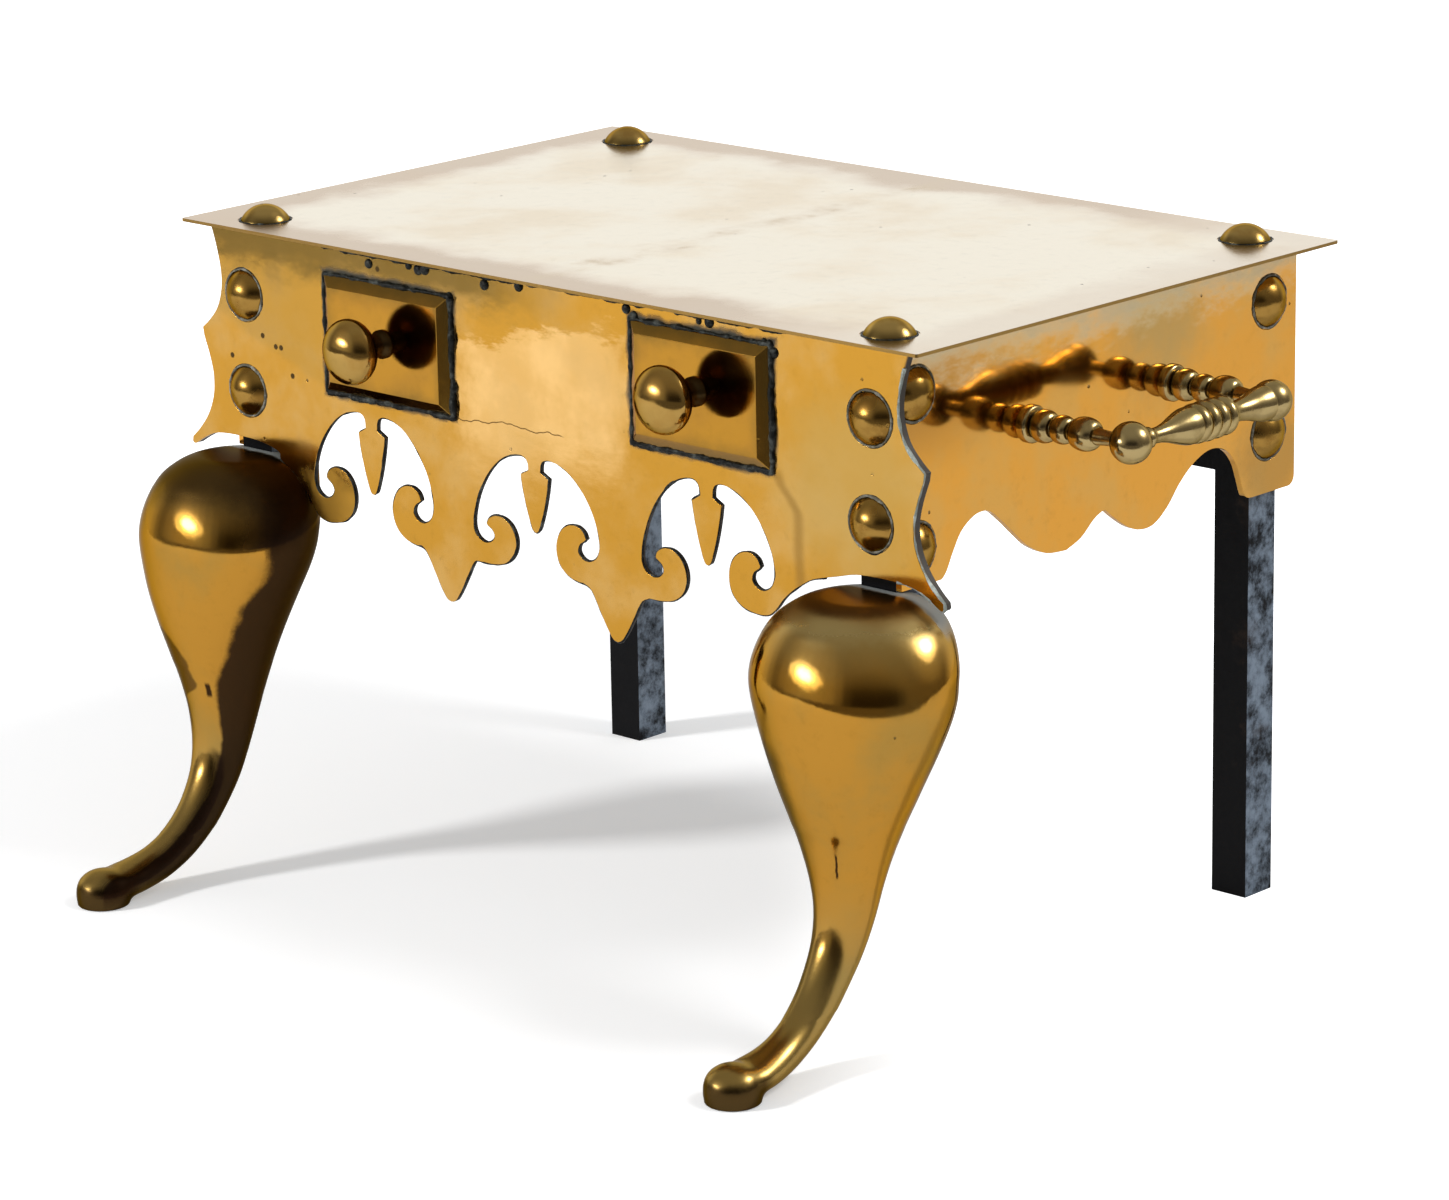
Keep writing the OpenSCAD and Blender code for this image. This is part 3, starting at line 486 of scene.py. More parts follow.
PITS = [(x, APRON_Y, z) for x, z in ((-0.1, 0.291), (-0.198, 0.238), (-0.177, 0.25), (-0.1685, 0.246),
                                     (-0.165, 0.246), (-0.158, 0.234), (0.121, 0.215))]
apron_brass = brass("apron_brass", GOLD, (0.78, 0.5, 0.18), 0.5, 0.04, (0.08, 0.2), (1, 1, 14), 0.0006, [
    (patch((0.18, APRON_Y, 0.235), 0.055, 0.6), (0.58, 0.38, 0.11), 0.0),
    (painted_reflection_corner, (0.5, 0.29, 0.06), 0.0),
    (rubbed_middle, (0.96, 0.6, 0.22), 0.0), (darker_top, (0.27, 0.17, 0.04), 0.3),
    (crack_between_drawers, (0.2, 0.11, 0.03), 0.4), (run_below_drawer, (0.3, 0.16, 0.035), 0.3),
    (patch((-0.131, APRON_Y, 0.178), 0.03, 0.9), (0.8, 0.44, 0.07), 0.5),
    (filled_holes(PITS, 0.0016), (0.1, 0.06, 0.02), 0.5), (unpolished_back, (0.06, 0.05, 0.04), 0.6),
    (round_drawers, (0.05, 0.045, 0.03), 0.6)])
softened("front_apron", "pierced_apron", 0.0004, apron_brass)
print("front apron at y", round(APRON_Y, 4))

# %% Side aprons and drawer fronts
SIDE_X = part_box("side_apron_right")[1].x

def pale_runs(at):
    return fade(at.z + at.clouds(0.025, 6, 0.7, (1, 1, 2.5)) * 0.05, 0.298, 0.322) * 0.8

# The upper front of each side apron is painted brown: a painted reflection of the studs and corner at its
# front end.
def painted_reflection_front(at):
    return (1 - fade(at.y, -0.07, 0.01)) * fade(at.z, 0.235, 0.27) * 0.7

def tarnished_rim(at):
    return fade(past_drawers(at) + at.ragged(0.02, 0.016), -0.012, 0.002) * 0.8

side_brass = brass(
    "side_brass", (0.83, 0.39, 0.058), (0.72, 0.42, 0.11), 0.55, 0.035, (0.07, 0.12), (1, 4, 1), 0.0003, [
        (painted_reflection_front, (0.4, 0.2, 0.045), 0.0),
        (patch((SIDE_X, 0.09, 0.285), 0.05, 0.55), (0.42, 0.32, 0.13), 0.0),
        (patch((SIDE_X, 0.17, 0.2), 0.04, 0.6), (0.4, 0.24, 0.07), 0.0),
        (pale_runs, (0.76, 0.64, 0.4), 0.3)], rub=0.012)
drawer_brass = brass(
    "drawer_brass", (0.54, 0.265, 0.033), BROWN_GOLD, 0.35, 0.03, (0.07, 0.16), (14, 1, 1), 0.0002, [
        (tarnished_rim, (0.2, 0.125, 0.03), 0.2)])
for side in ("left", "right"):
    softened("side_apron_" + side, "side_apron_" + side + "_brass", 0.0004, side_brass)
    softened("drawer_front_" + side, "drawer_" + side + "_brass", 0.0003, drawer_brass)

# %% [markdown]
# The front legs are solid castings. Each is a row of round sections along a curved line,
# which is easy to loft. The toe is a round pad that the thin shank flows into, and that
# joint is hard to loft. So the two are simply overlapped, turned into one skin by a voxel
# remesh, and smoothed, as a file and emery would do it.

# %% Leg sections
# A row is a section in millimetres: its middle sideways, back and up, half its width and depth.
LEG_ROWS = [
    (1.4, 5.6, 194.5, 16, 16), (1.4, 5.5, 193.6, 20.5, 20), (1.4, 5.2, 191, 27, 26),
    (1.4, 4.6, 186, 34.2, 32.2), (1.4, 3.7, 181, 38.6, 34.6), (1.5, 2.6, 176, 41.4, 36),
    (1.6, 1.5, 171, 43.4, 36.8), (1.7, 0.4, 166, 44.7, 37.1), (1.9, -0.8, 160, 45.2, 37),
    (2.3, -1.4, 154, 44.8, 36.4), (2.8, -2.4, 145, 42.5, 34.7), (3.4, -4.2, 132, 37.4, 31.8),
    (3.5, -5.5, 118, 31.3, 28), (3.4, -6.1, 104, 25.4, 23.6), (3.2, -6.6, 90, 20, 19.4),
    (3.2, -7.5, 76, 15.9, 15.9), (3.5, -9.6, 62, 13.2, 13.2), (3.3, -13.8, 49, 11.4, 11.4),
    (3.2, -20, 38, 10.2, 10.2), (3.4, -28, 27.6, 9.3, 9.6), (4, -38.5, 18.6, 8.8, 9),
    (4.9, -50, 12.6, 9.1, 8.4), (5.8, -61, 9.6, 10.3, 7.9), (6.1, -71, 8.4, 11.6, 7.4),
    (6.2, -80, 8.4, 10.6, 6), (6.2, -87, 7.4, 5, 4.4)]
TOE = [(0, 11.8), (1.2, 12.3), (4.5, 12.6), (8.8, 12.3), (12, 10.9), (14.5, 8.3), (16.2, 4.9), (16.8, 2)]
TOE_OUT, TOE_Y, TOE_REACH = 6.2, -82.2, 12.6
STEPS_PER_ROW = 4
LEG_X = 188.5
LEG_Y = 1000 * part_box("cabriole_leg_right")[0].y + TOE_REACH - TOE_Y
TENON, TENON_BACK, TENON_UP = (27.2, 27.2, 26), 30.4, 173.5
ANKLE_UP, ANKLE_TO_KNEE = 70, 40

def spline(points, steps):
    made = []
    for i in range(len(points) - 1):
        a, b, c, d = (Vector(points[min(max(j, 0), len(points) - 1)]) for j in (i - 1, i, i + 1, i + 2))
        for k in range(steps):
            t = k / steps
            made.append(b + t * (c - a) / 2 + t * t * (a - 2.5 * b + 2 * c - d / 2)
                        + t ** 3 * (1.5 * (b - c) + (d - a) / 2))
    return made + [Vector(points[-1])]

def loft(rings):
    around = len(rings[0])
    verts = [p for ring in rings for p in ring]
    faces = [(i * around + k, i * around + (k + 1) % around, (i + 1) * around + (k + 1) % around,
              (i + 1) * around + k) for i in range(len(rings) - 1) for k in range(around)]
    faces.append(tuple(reversed(range(around))))
    faces.append(tuple(range(len(verts) - around, len(verts))))
    return verts, faces

def circle(around):
    return [2 * pi * k / around for k in range(around)]

def lathe(profile, around=64):
    return loft([[Vector((r * cos(a), r * sin(a), z)) for a in circle(around)] for z, r in profile])

def leg_rings(knee, ankle, around=72):
    path = spline(LEG_ROWS, STEPS_PER_ROW)
    made = []
    for i, (x, y, z, wide, deep) in enumerate(path):
        before, after = path[max(i - 1, 0)], path[min(i + 1, len(path) - 1)]
        run = Vector((0 if z > 100 else after[1] - before[1], after[2] - before[2])).normalized()
        g = ankle + (knee - ankle) * min(1, max(0, (z - ANKLE_UP) / ANKLE_TO_KNEE))
        made.append([Vector((x + g * wide * cos(a), y - g * deep * sin(a) * run.y,
                             z + g * deep * sin(a) * run.x)) for a in circle(around)])
    return made

print("leg", len(LEG_ROWS), "sections and a toe, centred at", LEG_X, round(LEG_Y, 1), "mm")

# %% Front legs
VOXEL, EMERY_PASSES, FILE_PASSES, FOOT_LOW, FOOT_HIGH = 0.0009, 10, 26, 0.001, 0.024
SOCKET, SAW_CUT = (0.0192, 0.0192, 0.05), (0.024, 0.0047, 0.021)
SAW_CUT_ASIDE, SAW_CUT_BACK, SAW_CUT_UP = 0.0305, 0.00225, 0.186

def add_part(work, verts, faces, offset=(0, 0, 0)):
    placed = [work.verts.new(v + Vector(offset)) for v in verts]
    for face in faces:
        work.faces.new([placed[i] for i in face])

def mesh_from(work, name):
    mesh = bpy.data.meshes.new(name)
    work.to_mesh(mesh)
    work.free()
    return mesh

def add_box(work, middle, size):
    made = bmesh.ops.create_cube(work, size=1)["verts"]
    bmesh.ops.scale(work, verts=made, vec=size)
    bmesh.ops.translate(work, verts=made, vec=middle)

def file_foot(mesh):
    work = bmesh.new()
    work.from_mesh(mesh)
    foot = [v for v in work.verts if FOOT_LOW < v.co.z < FOOT_HIGH]
    for _ in range(FILE_PASSES):
        bmesh.ops.smooth_vert(work, verts=foot, factor=0.5, use_axis_x=True, use_axis_y=True,
                              use_axis_z=True)
    for v in work.verts:
        v.co.z = max(v.co.z, 0.0)
    work.to_mesh(mesh)
    work.free()

def cut_sockets(piece, post_low, post_high, saw_cut):
    cutter = bmesh.new()
    post_mid = (post_low + post_high) / 2
    add_box(cutter, (post_mid.x, post_mid.y, post_low.z + SOCKET[2] / 2), SOCKET)
    if saw_cut:
        add_box(cutter, (SAW_CUT_ASIDE - LEG_X / 1000, APRON_Y + SAW_CUT_BACK, SAW_CUT_UP), SAW_CUT)
    socket = new_object("socket", mesh_from(cutter, "socket"))
    cut = piece.modifiers.new("socket", "BOOLEAN")
    cut.solver = "MANIFOLD"
    cut.object = socket
    return socket

def cast_leg(side, knee, ankle, inwards, material):
    name = "left" if side < 0 else "right"
    work = bmesh.new()
    add_part(work, *loft(leg_rings(knee, ankle)))
    add_part(work, *lathe(spline(TOE, STEPS_PER_ROW), 72), (TOE_OUT, TOE_Y, 0))
    bmesh.ops.translate(work, verts=work.verts, vec=(LEG_X - inwards, LEG_Y, 0))
    add_box(work, (LEG_X, LEG_Y + TENON_BACK, TENON_UP), TENON)
    bmesh.ops.scale(work, verts=work.verts, vec=(0.001 * side, 0.001, 0.001))
    bmesh.ops.recalc_face_normals(work, faces=work.faces)
    cast_name = "cabriole_leg_" + name + "_cast"
    made = new_object(cast_name, mesh_from(work, cast_name))
    skin = made.modifiers.new("skin", "REMESH")
    skin.mode = "VOXEL"
    skin.voxel_size = VOXEL
    skin.use_smooth_shade = True
    emery = made.modifiers.new("emery", "SMOOTH")
    emery.factor = 0.5
    emery.iterations = EMERY_PASSES
    bake(made)
    file_foot(made.data)
    socket = cut_sockets(made, *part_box("front_post_" + name), side < 0)
    settle(made, material, ["cabriole_leg_" + name])
    bpy.data.objects.remove(socket)
    made.data.shade_smooth()
    lowest = min(v.co.z for v in made.data.vertices)
    print(made.name, len(made.data.polygons), "faces, lowest point", round(1000 * lowest, 2), "mm")

# %% [markdown]
# A polishing cloth reaches the front and the outside of a leg, and never the side that
# faces the other leg. There the brass has gone almost black, with a ragged edge. That mark
# uses the direction that the surface faces, so it follows the round form. The top of the
# knee behind the apron was never finished at all and is a dull grey, found by its place.

# %% Leg brass
def grey_top(at):
    behind = fade(at.y + at.ragged(0.012, 0.006), APRON_Y - 0.001, APRON_Y + 0.002)
    return behind * fade(at.z, 0.178, 0.187)

def above_level(start, end, uneven, strength):
    return lambda at: fade(at.z + at.ragged(0.018, uneven), start, end) * strength

def worn_foot(at):
    return (1 - fade(at.z + at.ragged(0.02, 0.02), 0.03, 0.085)) * 0.85

def toe_grime(at):
    below = 1 - fade(at.z + at.ragged(0.008, 0.005), 0.0085, 0.0125)
    return below * (1 - fade(at.y, -0.173, -0.163)) * 0.85

def casting_crack(top, bottom, wide):
    lean = (top[0] - bottom[0]) / (top[1] - bottom[1])
    def mask(at):
        away = abs(at.x - (at.z * lean + (top[0] - lean * top[1])) + at.ragged(0.004, 0.0012))
        in_front_only = 1 - fade(at.y, -0.114, -0.112)
        return (1 - fade(away, 0.4 * wide, wide)) * in_front_only * between(at.z, bottom[1], top[1], 0.0012)
    return mask

def inner_side(inward, levels, soft, low, high, strength):
    def mask(at):
        edge = levels[0][1]
        for (z_low, below), (z_high, above_it) in zip(levels, levels[1:]):
            edge = fade(at.z, z_low, z_high) * (above_it - below) + edge
        past = at.facing(*inward) + at.ragged(0.03, 0.3) - edge
        return fade(past, 0, soft) * between(at.z, low, high, 0.006) * strength
    return mask

def dark_dome(inward, start, end, strength):
    def mask(at):
        turned_in = fade(at.facing(*inward) + at.ragged(0.03, 0.5), start, end)
        return turned_in * fade(at.facing(0, 0, 1), 0.03, 0.1) * strength
    return mask

SOOT, CRACK, LEG_RIM = (0.03, 0.016, 0.01), (0.06, 0.03, 0.012), (0.55, 0.49, 0.4)
LEG_GOLD, LEG_OLIVE = (0.57, 0.28, 0.04), (0.42, 0.26, 0.06)
LEFT_IN, RIGHT_IN, LEFT_OUT = (0.97, 0.26, 0), (-0.94, 0.34, 0), (-0.73, -0.68, 0)
LEG_MARKS = {
    "left": [
        (above_level(0.162, 0.182, 0.012, 0.85), (0.34, 0.2, 0.05), 0.27),
        (above_level(0.172, 0.188, 0.012, 0.9), (0.085, 0.05, 0.018), 0.4),
        (inner_side(LEFT_IN, [(0.03, 0.5), (0.06, 0.5), (0.09, 0.28), (0.112, 0.42), (0.128, 0.48),
                              (0.15, 0.68)], 0.12, 0.004, 0.17, 0.95), SOOT, 0.45),
        (dark_dome(LEFT_IN, 0.05, 0.75, 0.95), SOOT, 0.42),
        # A darker band along the left leg's left outline, between 70 and 140 mm up.
        (inner_side(LEFT_OUT, [(0.084, 0.85), (0.092, 0.52), (0.1, 0.6), (0.132, 1.05)],
                    0.08, 0.07, 0.14, 0.8), (0.09, 0.045, 0.016), 0.3),
        (casting_crack((-0.1819, 0.0935), (-0.1821, 0.087), 0.0016), CRACK, 0.5)],
    "right": [
        (above_level(0.166, 0.186, 0.012, 0.85), (0.5, 0.33, 0.105), 0.27),
        (above_level(0.18, 0.19, 0.012, 0.7), (0.62, 0.48, 0.21), 0.5),
        # A thin dark band round the top rim of the right knee, under the apron: painted shadow.
        (above_level(0.1905, 0.1932, 0.002, 0.9), (0.15, 0.08, 0.03), 0.3),
        (inner_side(RIGHT_IN, [(0.04, -0.05), (0.12, -0.2)], 0.25, 0.03, 0.135, 0.8),
         (0.13, 0.09, 0.035), 0.3),
        (inner_side(RIGHT_IN, [(0.04, 0.62), (0.12, 0.7)], 0.15, 0.02, 0.14, 0.9), SOOT, 0.45),
        (casting_crack((0.2012, 0.0925), (0.1995, 0.0815), 0.0006), CRACK, 0.5)]}
leg_looks = {}
for side, marks in LEG_MARKS.items():
    leg_looks[side] = brass(
        "leg_brass_" + side, LEG_GOLD, LEG_OLIVE, 0.7, 0.045, (0.08, 0.17), (1, 1, 8), rim=LEG_RIM,
        marks=[(worn_foot, (0.4, 0.28, 0.09), 0.32), *marks, (toe_grime, (0.028, 0.012, 0.006), 0.3),
               (grey_top, (0.3, 0.32, 0.31), 0.6)])
cast_leg(-1, knee=1.005, ankle=1.03, inwards=0.8, material=leg_looks["left"])
cast_leg(1, knee=1.038, ankle=0.995, inwards=-0.2, material=leg_looks["right"])

# %% [markdown]
# The sixteen studs are all alike, so one is turned and a Geometry Nodes tree puts a copy on
# each point of a small cloud of points. Each point carries the direction that its stud
# faces. The tree turns every copy by its own random angle and makes them real at the end.
# The points are found in the order of the frame's own vertices, so that the same stud gets
# the same angle in every run.

# %% The tree that repeats a piece
def new_tree(name, **inputs):
    tree = bpy.data.node_groups.new(name, "GeometryNodeTree")
    for socket, kind in {"Geometry": "Geometry", **inputs}.items():
        tree.interface.new_socket(socket.replace("_", " "), in_out="INPUT", socket_type="NodeSocket" + kind)
    tree.interface.new_socket("Geometry", in_out="OUTPUT", socket_type="NodeSocketGeometry")
    return tree, tree.nodes.new("NodeGroupInput").outputs

def finish_tree(tree, shape, material):
    real = add(tree, "GeometryNodeRealizeInstances", None, shape)
    dressed = add(tree, "GeometryNodeSetMaterial", Geometry=real.outputs[0], Material=material)
    add(tree, "NodeGroupOutput", None, dressed.outputs[0])
    return tree

def repeat_tree(name):
    tree, given = new_tree(name, Piece="Object", Size_Spread="Float", Seed="Int", Material="Material")
    piece = add(tree, "GeometryNodeObjectInfo", Object=given["Piece"])
    faced = add(tree, "GeometryNodeInputNamedAttribute", {"data_type": "FLOAT_VECTOR"}, Name="facing")
    align = add(tree, "FunctionNodeAlignRotationToVector", {"axis": "Z"}, Vector=faced.outputs[0])
    spin = add(tree, "FunctionNodeRandomValue", {"data_type": "FLOAT_VECTOR"}, (0, 0, 0), (0, 0, 6.283),
               Seed=given["Seed"])
    turn = add(tree, "FunctionNodeRotateRotation", {"rotation_space": "LOCAL"}, align.outputs[0],
               spin.outputs[0])
    spread = Number(given["Size Spread"])
    size = add(tree, "FunctionNodeRandomValue", {"data_type": "FLOAT"}, Seed=given["Seed"])
    put(tree, size.inputs[2], 1 - spread)
    put(tree, size.inputs[3], spread + 1)
    placed = add(tree, "GeometryNodeInstanceOnPoints", Points=given["Geometry"],
                 Instance=piece.outputs["Geometry"], Rotation=turn.outputs[0], Scale=size.outputs[1])
    return finish_tree(tree, placed.outputs[0], given["Material"])

REPEAT = repeat_tree("repeat_on_points")
print(REPEAT.name, len(REPEAT.nodes), "nodes")

def through_tree(name, mesh, tree, **inputs):
    made = new_object(name, mesh)
    change = made.modifiers.new(tree.name, "NODES")
    change.node_group = tree
    sockets = {s.name: s.identifier for s in tree.interface.items_tree if s.in_out == "INPUT"}
    for key, value in inputs.items():
        change[sockets[key.replace("_", " ")]] = value
    return made

def plain_mesh(name, verts, faces):
    mesh = bpy.data.meshes.new(name)
    mesh.from_pydata([tuple(v) for v in verts], [], faces)
    mesh.shade_smooth()
    return new_object(name, mesh)

def repeated(name, piece, places, material, nodes, spread, seed):
    mesh = bpy.data.meshes.new(name)
    mesh.from_pydata([tuple(p) for p, _ in places], [], [])
    facing = mesh.attributes.new("facing", "FLOAT_VECTOR", "POINT")
    for i, (_, way) in enumerate(places):
        facing.data[i].vector = way
    made = through_tree(name, mesh, REPEAT, Piece=piece, Size_Spread=spread, Seed=seed, Material=material)
    settle(made, material, nodes)
    bpy.data.objects.remove(piece)
    print(name, len(places), "copies,", len(made.data.polygons), "faces")

# %% Studs
STUD_R, STUD_H, TOP_STUD_H, DOME_STEPS = 0.0113, 0.006, 0.0072, 14
PLATE_TOP = plate_high.z

def stud_profile(height):
    ball_r = (STUD_R ** 2 + height ** 2) / (2 * height)
    reach = asin(STUD_R / ball_r)
    dome = [(height - ball_r + ball_r * cos(reach * (1 - k / DOME_STEPS)),
             ball_r * sin(reach * (1 - k / DOME_STEPS))) for k in range(DOME_STEPS)]
    return [(-0.0003, STUD_R)] + dome + [(height, 0.0001)]

# The lower sides of each top stud's head are darker: painted shade under the dome.
def painted_shade_skirt(at):
    return 1 - fade(at.facing(0, 0, 1), 0.45, 0.8)

stud_brass = brass("stud_brass", (0.42, 0.24, 0.055), (0.26, 0.13, 0.025), 0.7, 0.01, (0.17, 0.34),
                   (1, 1, 6), rim=BROWN_RIM)
top_stud_brass = brass("top_stud_brass", (0.6, 0.4, 0.13), BROWN_GOLD, 0.5, 0.012, (0.1, 0.2), (1, 1, 6),
                       rim=BROWN_RIM, marks=[(painted_shade_skirt, (0.2, 0.13, 0.04), 0.25)])

def stud_places(node, way, level_at):
    axis = max(range(3), key=lambda i: abs(way[i]))
    work = merged(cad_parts[node].data)
    seen, found = set(), []
    for start in work.verts:
        if start in seen:
            continue
        seen.add(start)
        todo, group = [start], []
        while todo:
            v = todo.pop()
            group.append(v.co.copy())
            for other in (e.other_vert(v) for e in v.link_edges):
                if other not in seen:
                    seen.add(other)
                    todo.append(other)
        mid = Vector([(min(c[i] for c in group) + max(c[i] for c in group)) / 2 for i in range(3)])
        mid[axis] = level_at
        found.append((mid, way))
    work.free()
    return found

UP, FRONT = (0, 0, 1), (0, -1, 0)
SIDES = (("left", -1), ("right", 1))
STUDS = [("top_stud_heads", "top_studs", UP, PLATE_TOP, TOP_STUD_H, top_stud_brass, 3),
         ("apron_stud_heads", "front_apron_studs", FRONT, APRON_Y, STUD_H, stud_brass, 5)]
for side, sign in SIDES:
    STUDS.append(("side_stud_heads_" + side, "side_studs_" + side, (sign, 0, 0), sign * SIDE_X, STUD_H,
                  stud_brass, 7))
for name, node, way, level_at, tall, material, seed in STUDS:
    repeated(name, plain_mesh("stud", *lathe(stud_profile(tall))), stud_places(node, way, level_at),
             material, [node], 0.0, seed)

# %% [markdown]
# Polish that was never wiped out has set hard round the studs and the drawer fronts and
# under the lip of the top, black or grey green and lumpy. The black bead along under the lip
# also stands for the shade there: it is partly old polish and partly painted shade. A second
# tree makes a bead of it along a line: the line is cut into short steps, each step is pushed
# a little aside by noise, and the thickness follows the same noise.

# %% Beads of old polish
def bead_tree(name):
    tree, given = new_tree(name, Step="Float", Thickness="Float", Wander="Float", Lump_Size="Float",
                           Material="Material")
    line = add(tree, "GeometryNodeMeshToCurve", None, given["Geometry"])
    cut = add(tree, "GeometryNodeResampleCurve", {"mode": "LENGTH"}, Curve=line.outputs[0],
              Length=given["Step"])
    per_metre = add(tree, "Math", {"operation": "DIVIDE"}, 1.0, given["Lump Size"])
    noise = add(tree, "TexNoise", Detail=3, Scale=per_metre.outputs[0])
    centred = add(tree, "VectorMath", {"operation": "SUBTRACT"}, noise.outputs["Color"], (0.5, 0.5, 0.5))
    push = add(tree, "VectorMath", {"operation": "SCALE"}, centred.outputs[0], Scale=given["Wander"])
    moved = add(tree, "GeometryNodeSetPosition", Geometry=cut.outputs[0], Offset=push.outputs[0])
    grow = add(tree, "MapRange", Value=noise.outputs["Fac"], From_Min=0.3, From_Max=0.7, To_Min=0.35,
               To_Max=1.5)
    round_edge = add(tree, "GeometryNodeCurvePrimitiveCircle", Resolution=10, Radius=1.0)
    tube = add(tree, "GeometryNodeCurveToMesh", Curve=moved.outputs[0], Profile_Curve=round_edge.outputs[0],
               Scale=Number(grow.outputs[0]) * given["Thickness"], Fill_Caps=True)
    soft = add(tree, "GeometryNodeSetShadeSmooth", Geometry=tube.outputs[0])
    return finish_tree(tree, soft.outputs[0], given["Material"])

BEAD = bead_tree("bead_of_polish")
print(BEAD.name, len(BEAD.nodes), "nodes")

def polish_bead(name, lines, material, thickness, wander, lump, step=0.0008):
    verts, edges = [], []
    for line, closed in lines:
        start = len(verts)
        verts += [tuple(p) for p in line]
        edges += [(start + i, start + i + 1) for i in range(len(line) - 1)]
        if closed:
            edges.append((len(verts) - 1, start))
    mesh = bpy.data.meshes.new(name)
    mesh.from_pydata(verts, edges, [])
    made = through_tree(name, mesh, BEAD, Step=step, Thickness=thickness, Wander=wander, Lump_Size=lump,
                        Material=material)
    settle(made, material)
    print(name, len(made.data.polygons), "faces")

def old_polish(name, dark, pale, amount):
    made, shader, at = new_material(name)
    colour = blend(fade(at.clouds(0.006, 6, 0.7), 0.45, 0.7) * amount, dark, pale)
    set_shader(shader, Base_Color=colour, Roughness=0.4, Specular_IOR_Level=0.2,
               Normal=at.bump(0.6, 0.0004, at.clouds(0.002, 4)))
    return made

black_polish = old_polish("black_polish", (0.005, 0.006, 0.005), (0.2, 0.22, 0.2), 0.45)
grey_polish = old_polish("grey_polish", (0.12, 0.11, 0.08), (0.42, 0.42, 0.36), 0.9)
verdigris = old_polish("verdigris", (0.28, 0.32, 0.29), (0.68, 0.75, 0.71), 0.95)

# %% Polish round the drawers, and polish and painted shade under the lip
OUTSIDE, ON_FACE = 0.0004, APRON_Y - 0.0003
LIP_Z, LIP_Y = plate_low.z - 0.0013, APRON_Y - 0.0004
drawer_lines = [[(low.x - OUTSIDE, ON_FACE, low.z - OUTSIDE), (high.x + OUTSIDE, ON_FACE, low.z - OUTSIDE),
                 (high.x + OUTSIDE, ON_FACE, high.z + OUTSIDE), (low.x - OUTSIDE, ON_FACE, high.z + OUTSIDE)]
                for low, high in DRAWERS]
polish_bead("polish_round_drawers", [(line, True) for line in drawer_lines], black_polish,
            0.00125, 0.0014, 0.007)
below_and_right = [([Vector(p) + Vector((0.0006, 0, -0.0006)) for p in line[:3]], False)
                   for line in drawer_lines]
polish_bead("thicker_polish_on_drawers", below_and_right, black_polish, 0.0014, 0.0022, 0.009)
# The black bead under the lip is partly old polish and partly painted shade under the lip.
polish_bead("polish_under_lip", [([(x, LIP_Y, LIP_Z) for x in (-0.135, 0.0, 0.145)], False)], black_polish,
            0.00135, 0.0014, 0.009)
LUMP_R, LUMP_DEEP, LUMP_STEPS = 0.0021, 0.0012, 8
LUMPS = [(-0.1055, 0.0045), (-0.08, 0.002), (-0.074, 0.003), (-0.07, 0.0022), (-0.033, 0.0042),
         (-0.012, 0.002), (0.052, 0.003), (0.094, 0.0025), (0.1, 0.0022)]
LUMPS += [(drawer[k].x + aside, LIP_Z - drawer[1].z + drop) for drawer, k, aside, drop in (
    (RIGHT_DRAWER, 0, 0.0, 0.0), (RIGHT_DRAWER, 0, 0.0015, -0.0015), (RIGHT_DRAWER, 1, 0.0, -0.0005),
    (RIGHT_DRAWER, 1, -0.003, -0.0012), (RIGHT_DRAWER, 1, 0.0022, 0.0028), (LEFT_DRAWER, 1, 0.0, 0.0))]
lump = plain_mesh("lump", *lathe([(LUMP_DEEP * (1 - cos(pi * k / LUMP_STEPS)) - LUMP_DEEP,
                                   max(0.00005, LUMP_R * sin(pi * k / LUMP_STEPS)))
                                  for k in range(LUMP_STEPS + 1)], 16))
repeated("lumps_under_lip", lump, [(Vector((x, APRON_Y, LIP_Z - drop)), FRONT) for x, drop in LUMPS],
         black_polish, [], 0.35, 11)

# %% Polish on the cut edges
def outline_loops(node, level_at):
    work = merged(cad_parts[node].data)
    after = {}
    def on_front(face):
        return face.normal.y < -0.9 and abs(face.calc_center_median().y - level_at) < 1e-4
    for edge in work.edges:
        fronts = [f for f in edge.link_faces if on_front(f)]
        if len(fronts) == 1 and len(edge.link_faces) == 2:
            for a, b in (edge.verts, reversed(edge.verts)):
                after.setdefault(a, []).append(b)
    loops, seen = [], set()
    for start in after:
        line, here = [], start
        while here is not None and here not in seen:
            seen.add(here)
            line.append(here.co.copy())
            here = next((v for v in after[here] if v not in seen), None)
        if len(line) > 2:
            loops.append(line)
    work.free()
    return loops

def span_of(line):
    return max(p.x for p in line) - min(p.x for p in line)

def runs_of(line, keep):
    found, run = [], []
    for point in line:
        if keep(point):
            run.append(point)
            continue
        if len(run) > 2:
            found.append((run, False))
        run = []
    return found

def set_back(line, depth):
    return [p + Vector((0, depth, 0)) for p in line]

apron_loops = outline_loops("front_apron", APRON_Y)
whole = max(apron_loops, key=span_of)
first = min(range(len(whole)), key=lambda i: whole[i].x)
whole = whole[first:] + whole[:first]
right_end = [p for p in whole if p.x > 0.2 and 0.166 < p.z < 0.292]
in_piercings = runs_of(set_back(whole, 0.0007), lambda p: abs(p.x) < 0.165 and 0.135 < p.z < 0.24)
in_piercings += [(set_back(line, 0.0007), True) for line in apron_loops if 0.02 < span_of(line) < 0.3]
polish_bead("polish_in_piercings", in_piercings, black_polish, 0.0006, 0.0006, 0.014, 0.0014)
polish_bead("verdigris_on_end", [(set_back(right_end, 0.0006), False)], verdigris,
            0.0006, 0.0004, 0.008, 0.0012)

# %% Polish round the studs
RING_POINTS = 40

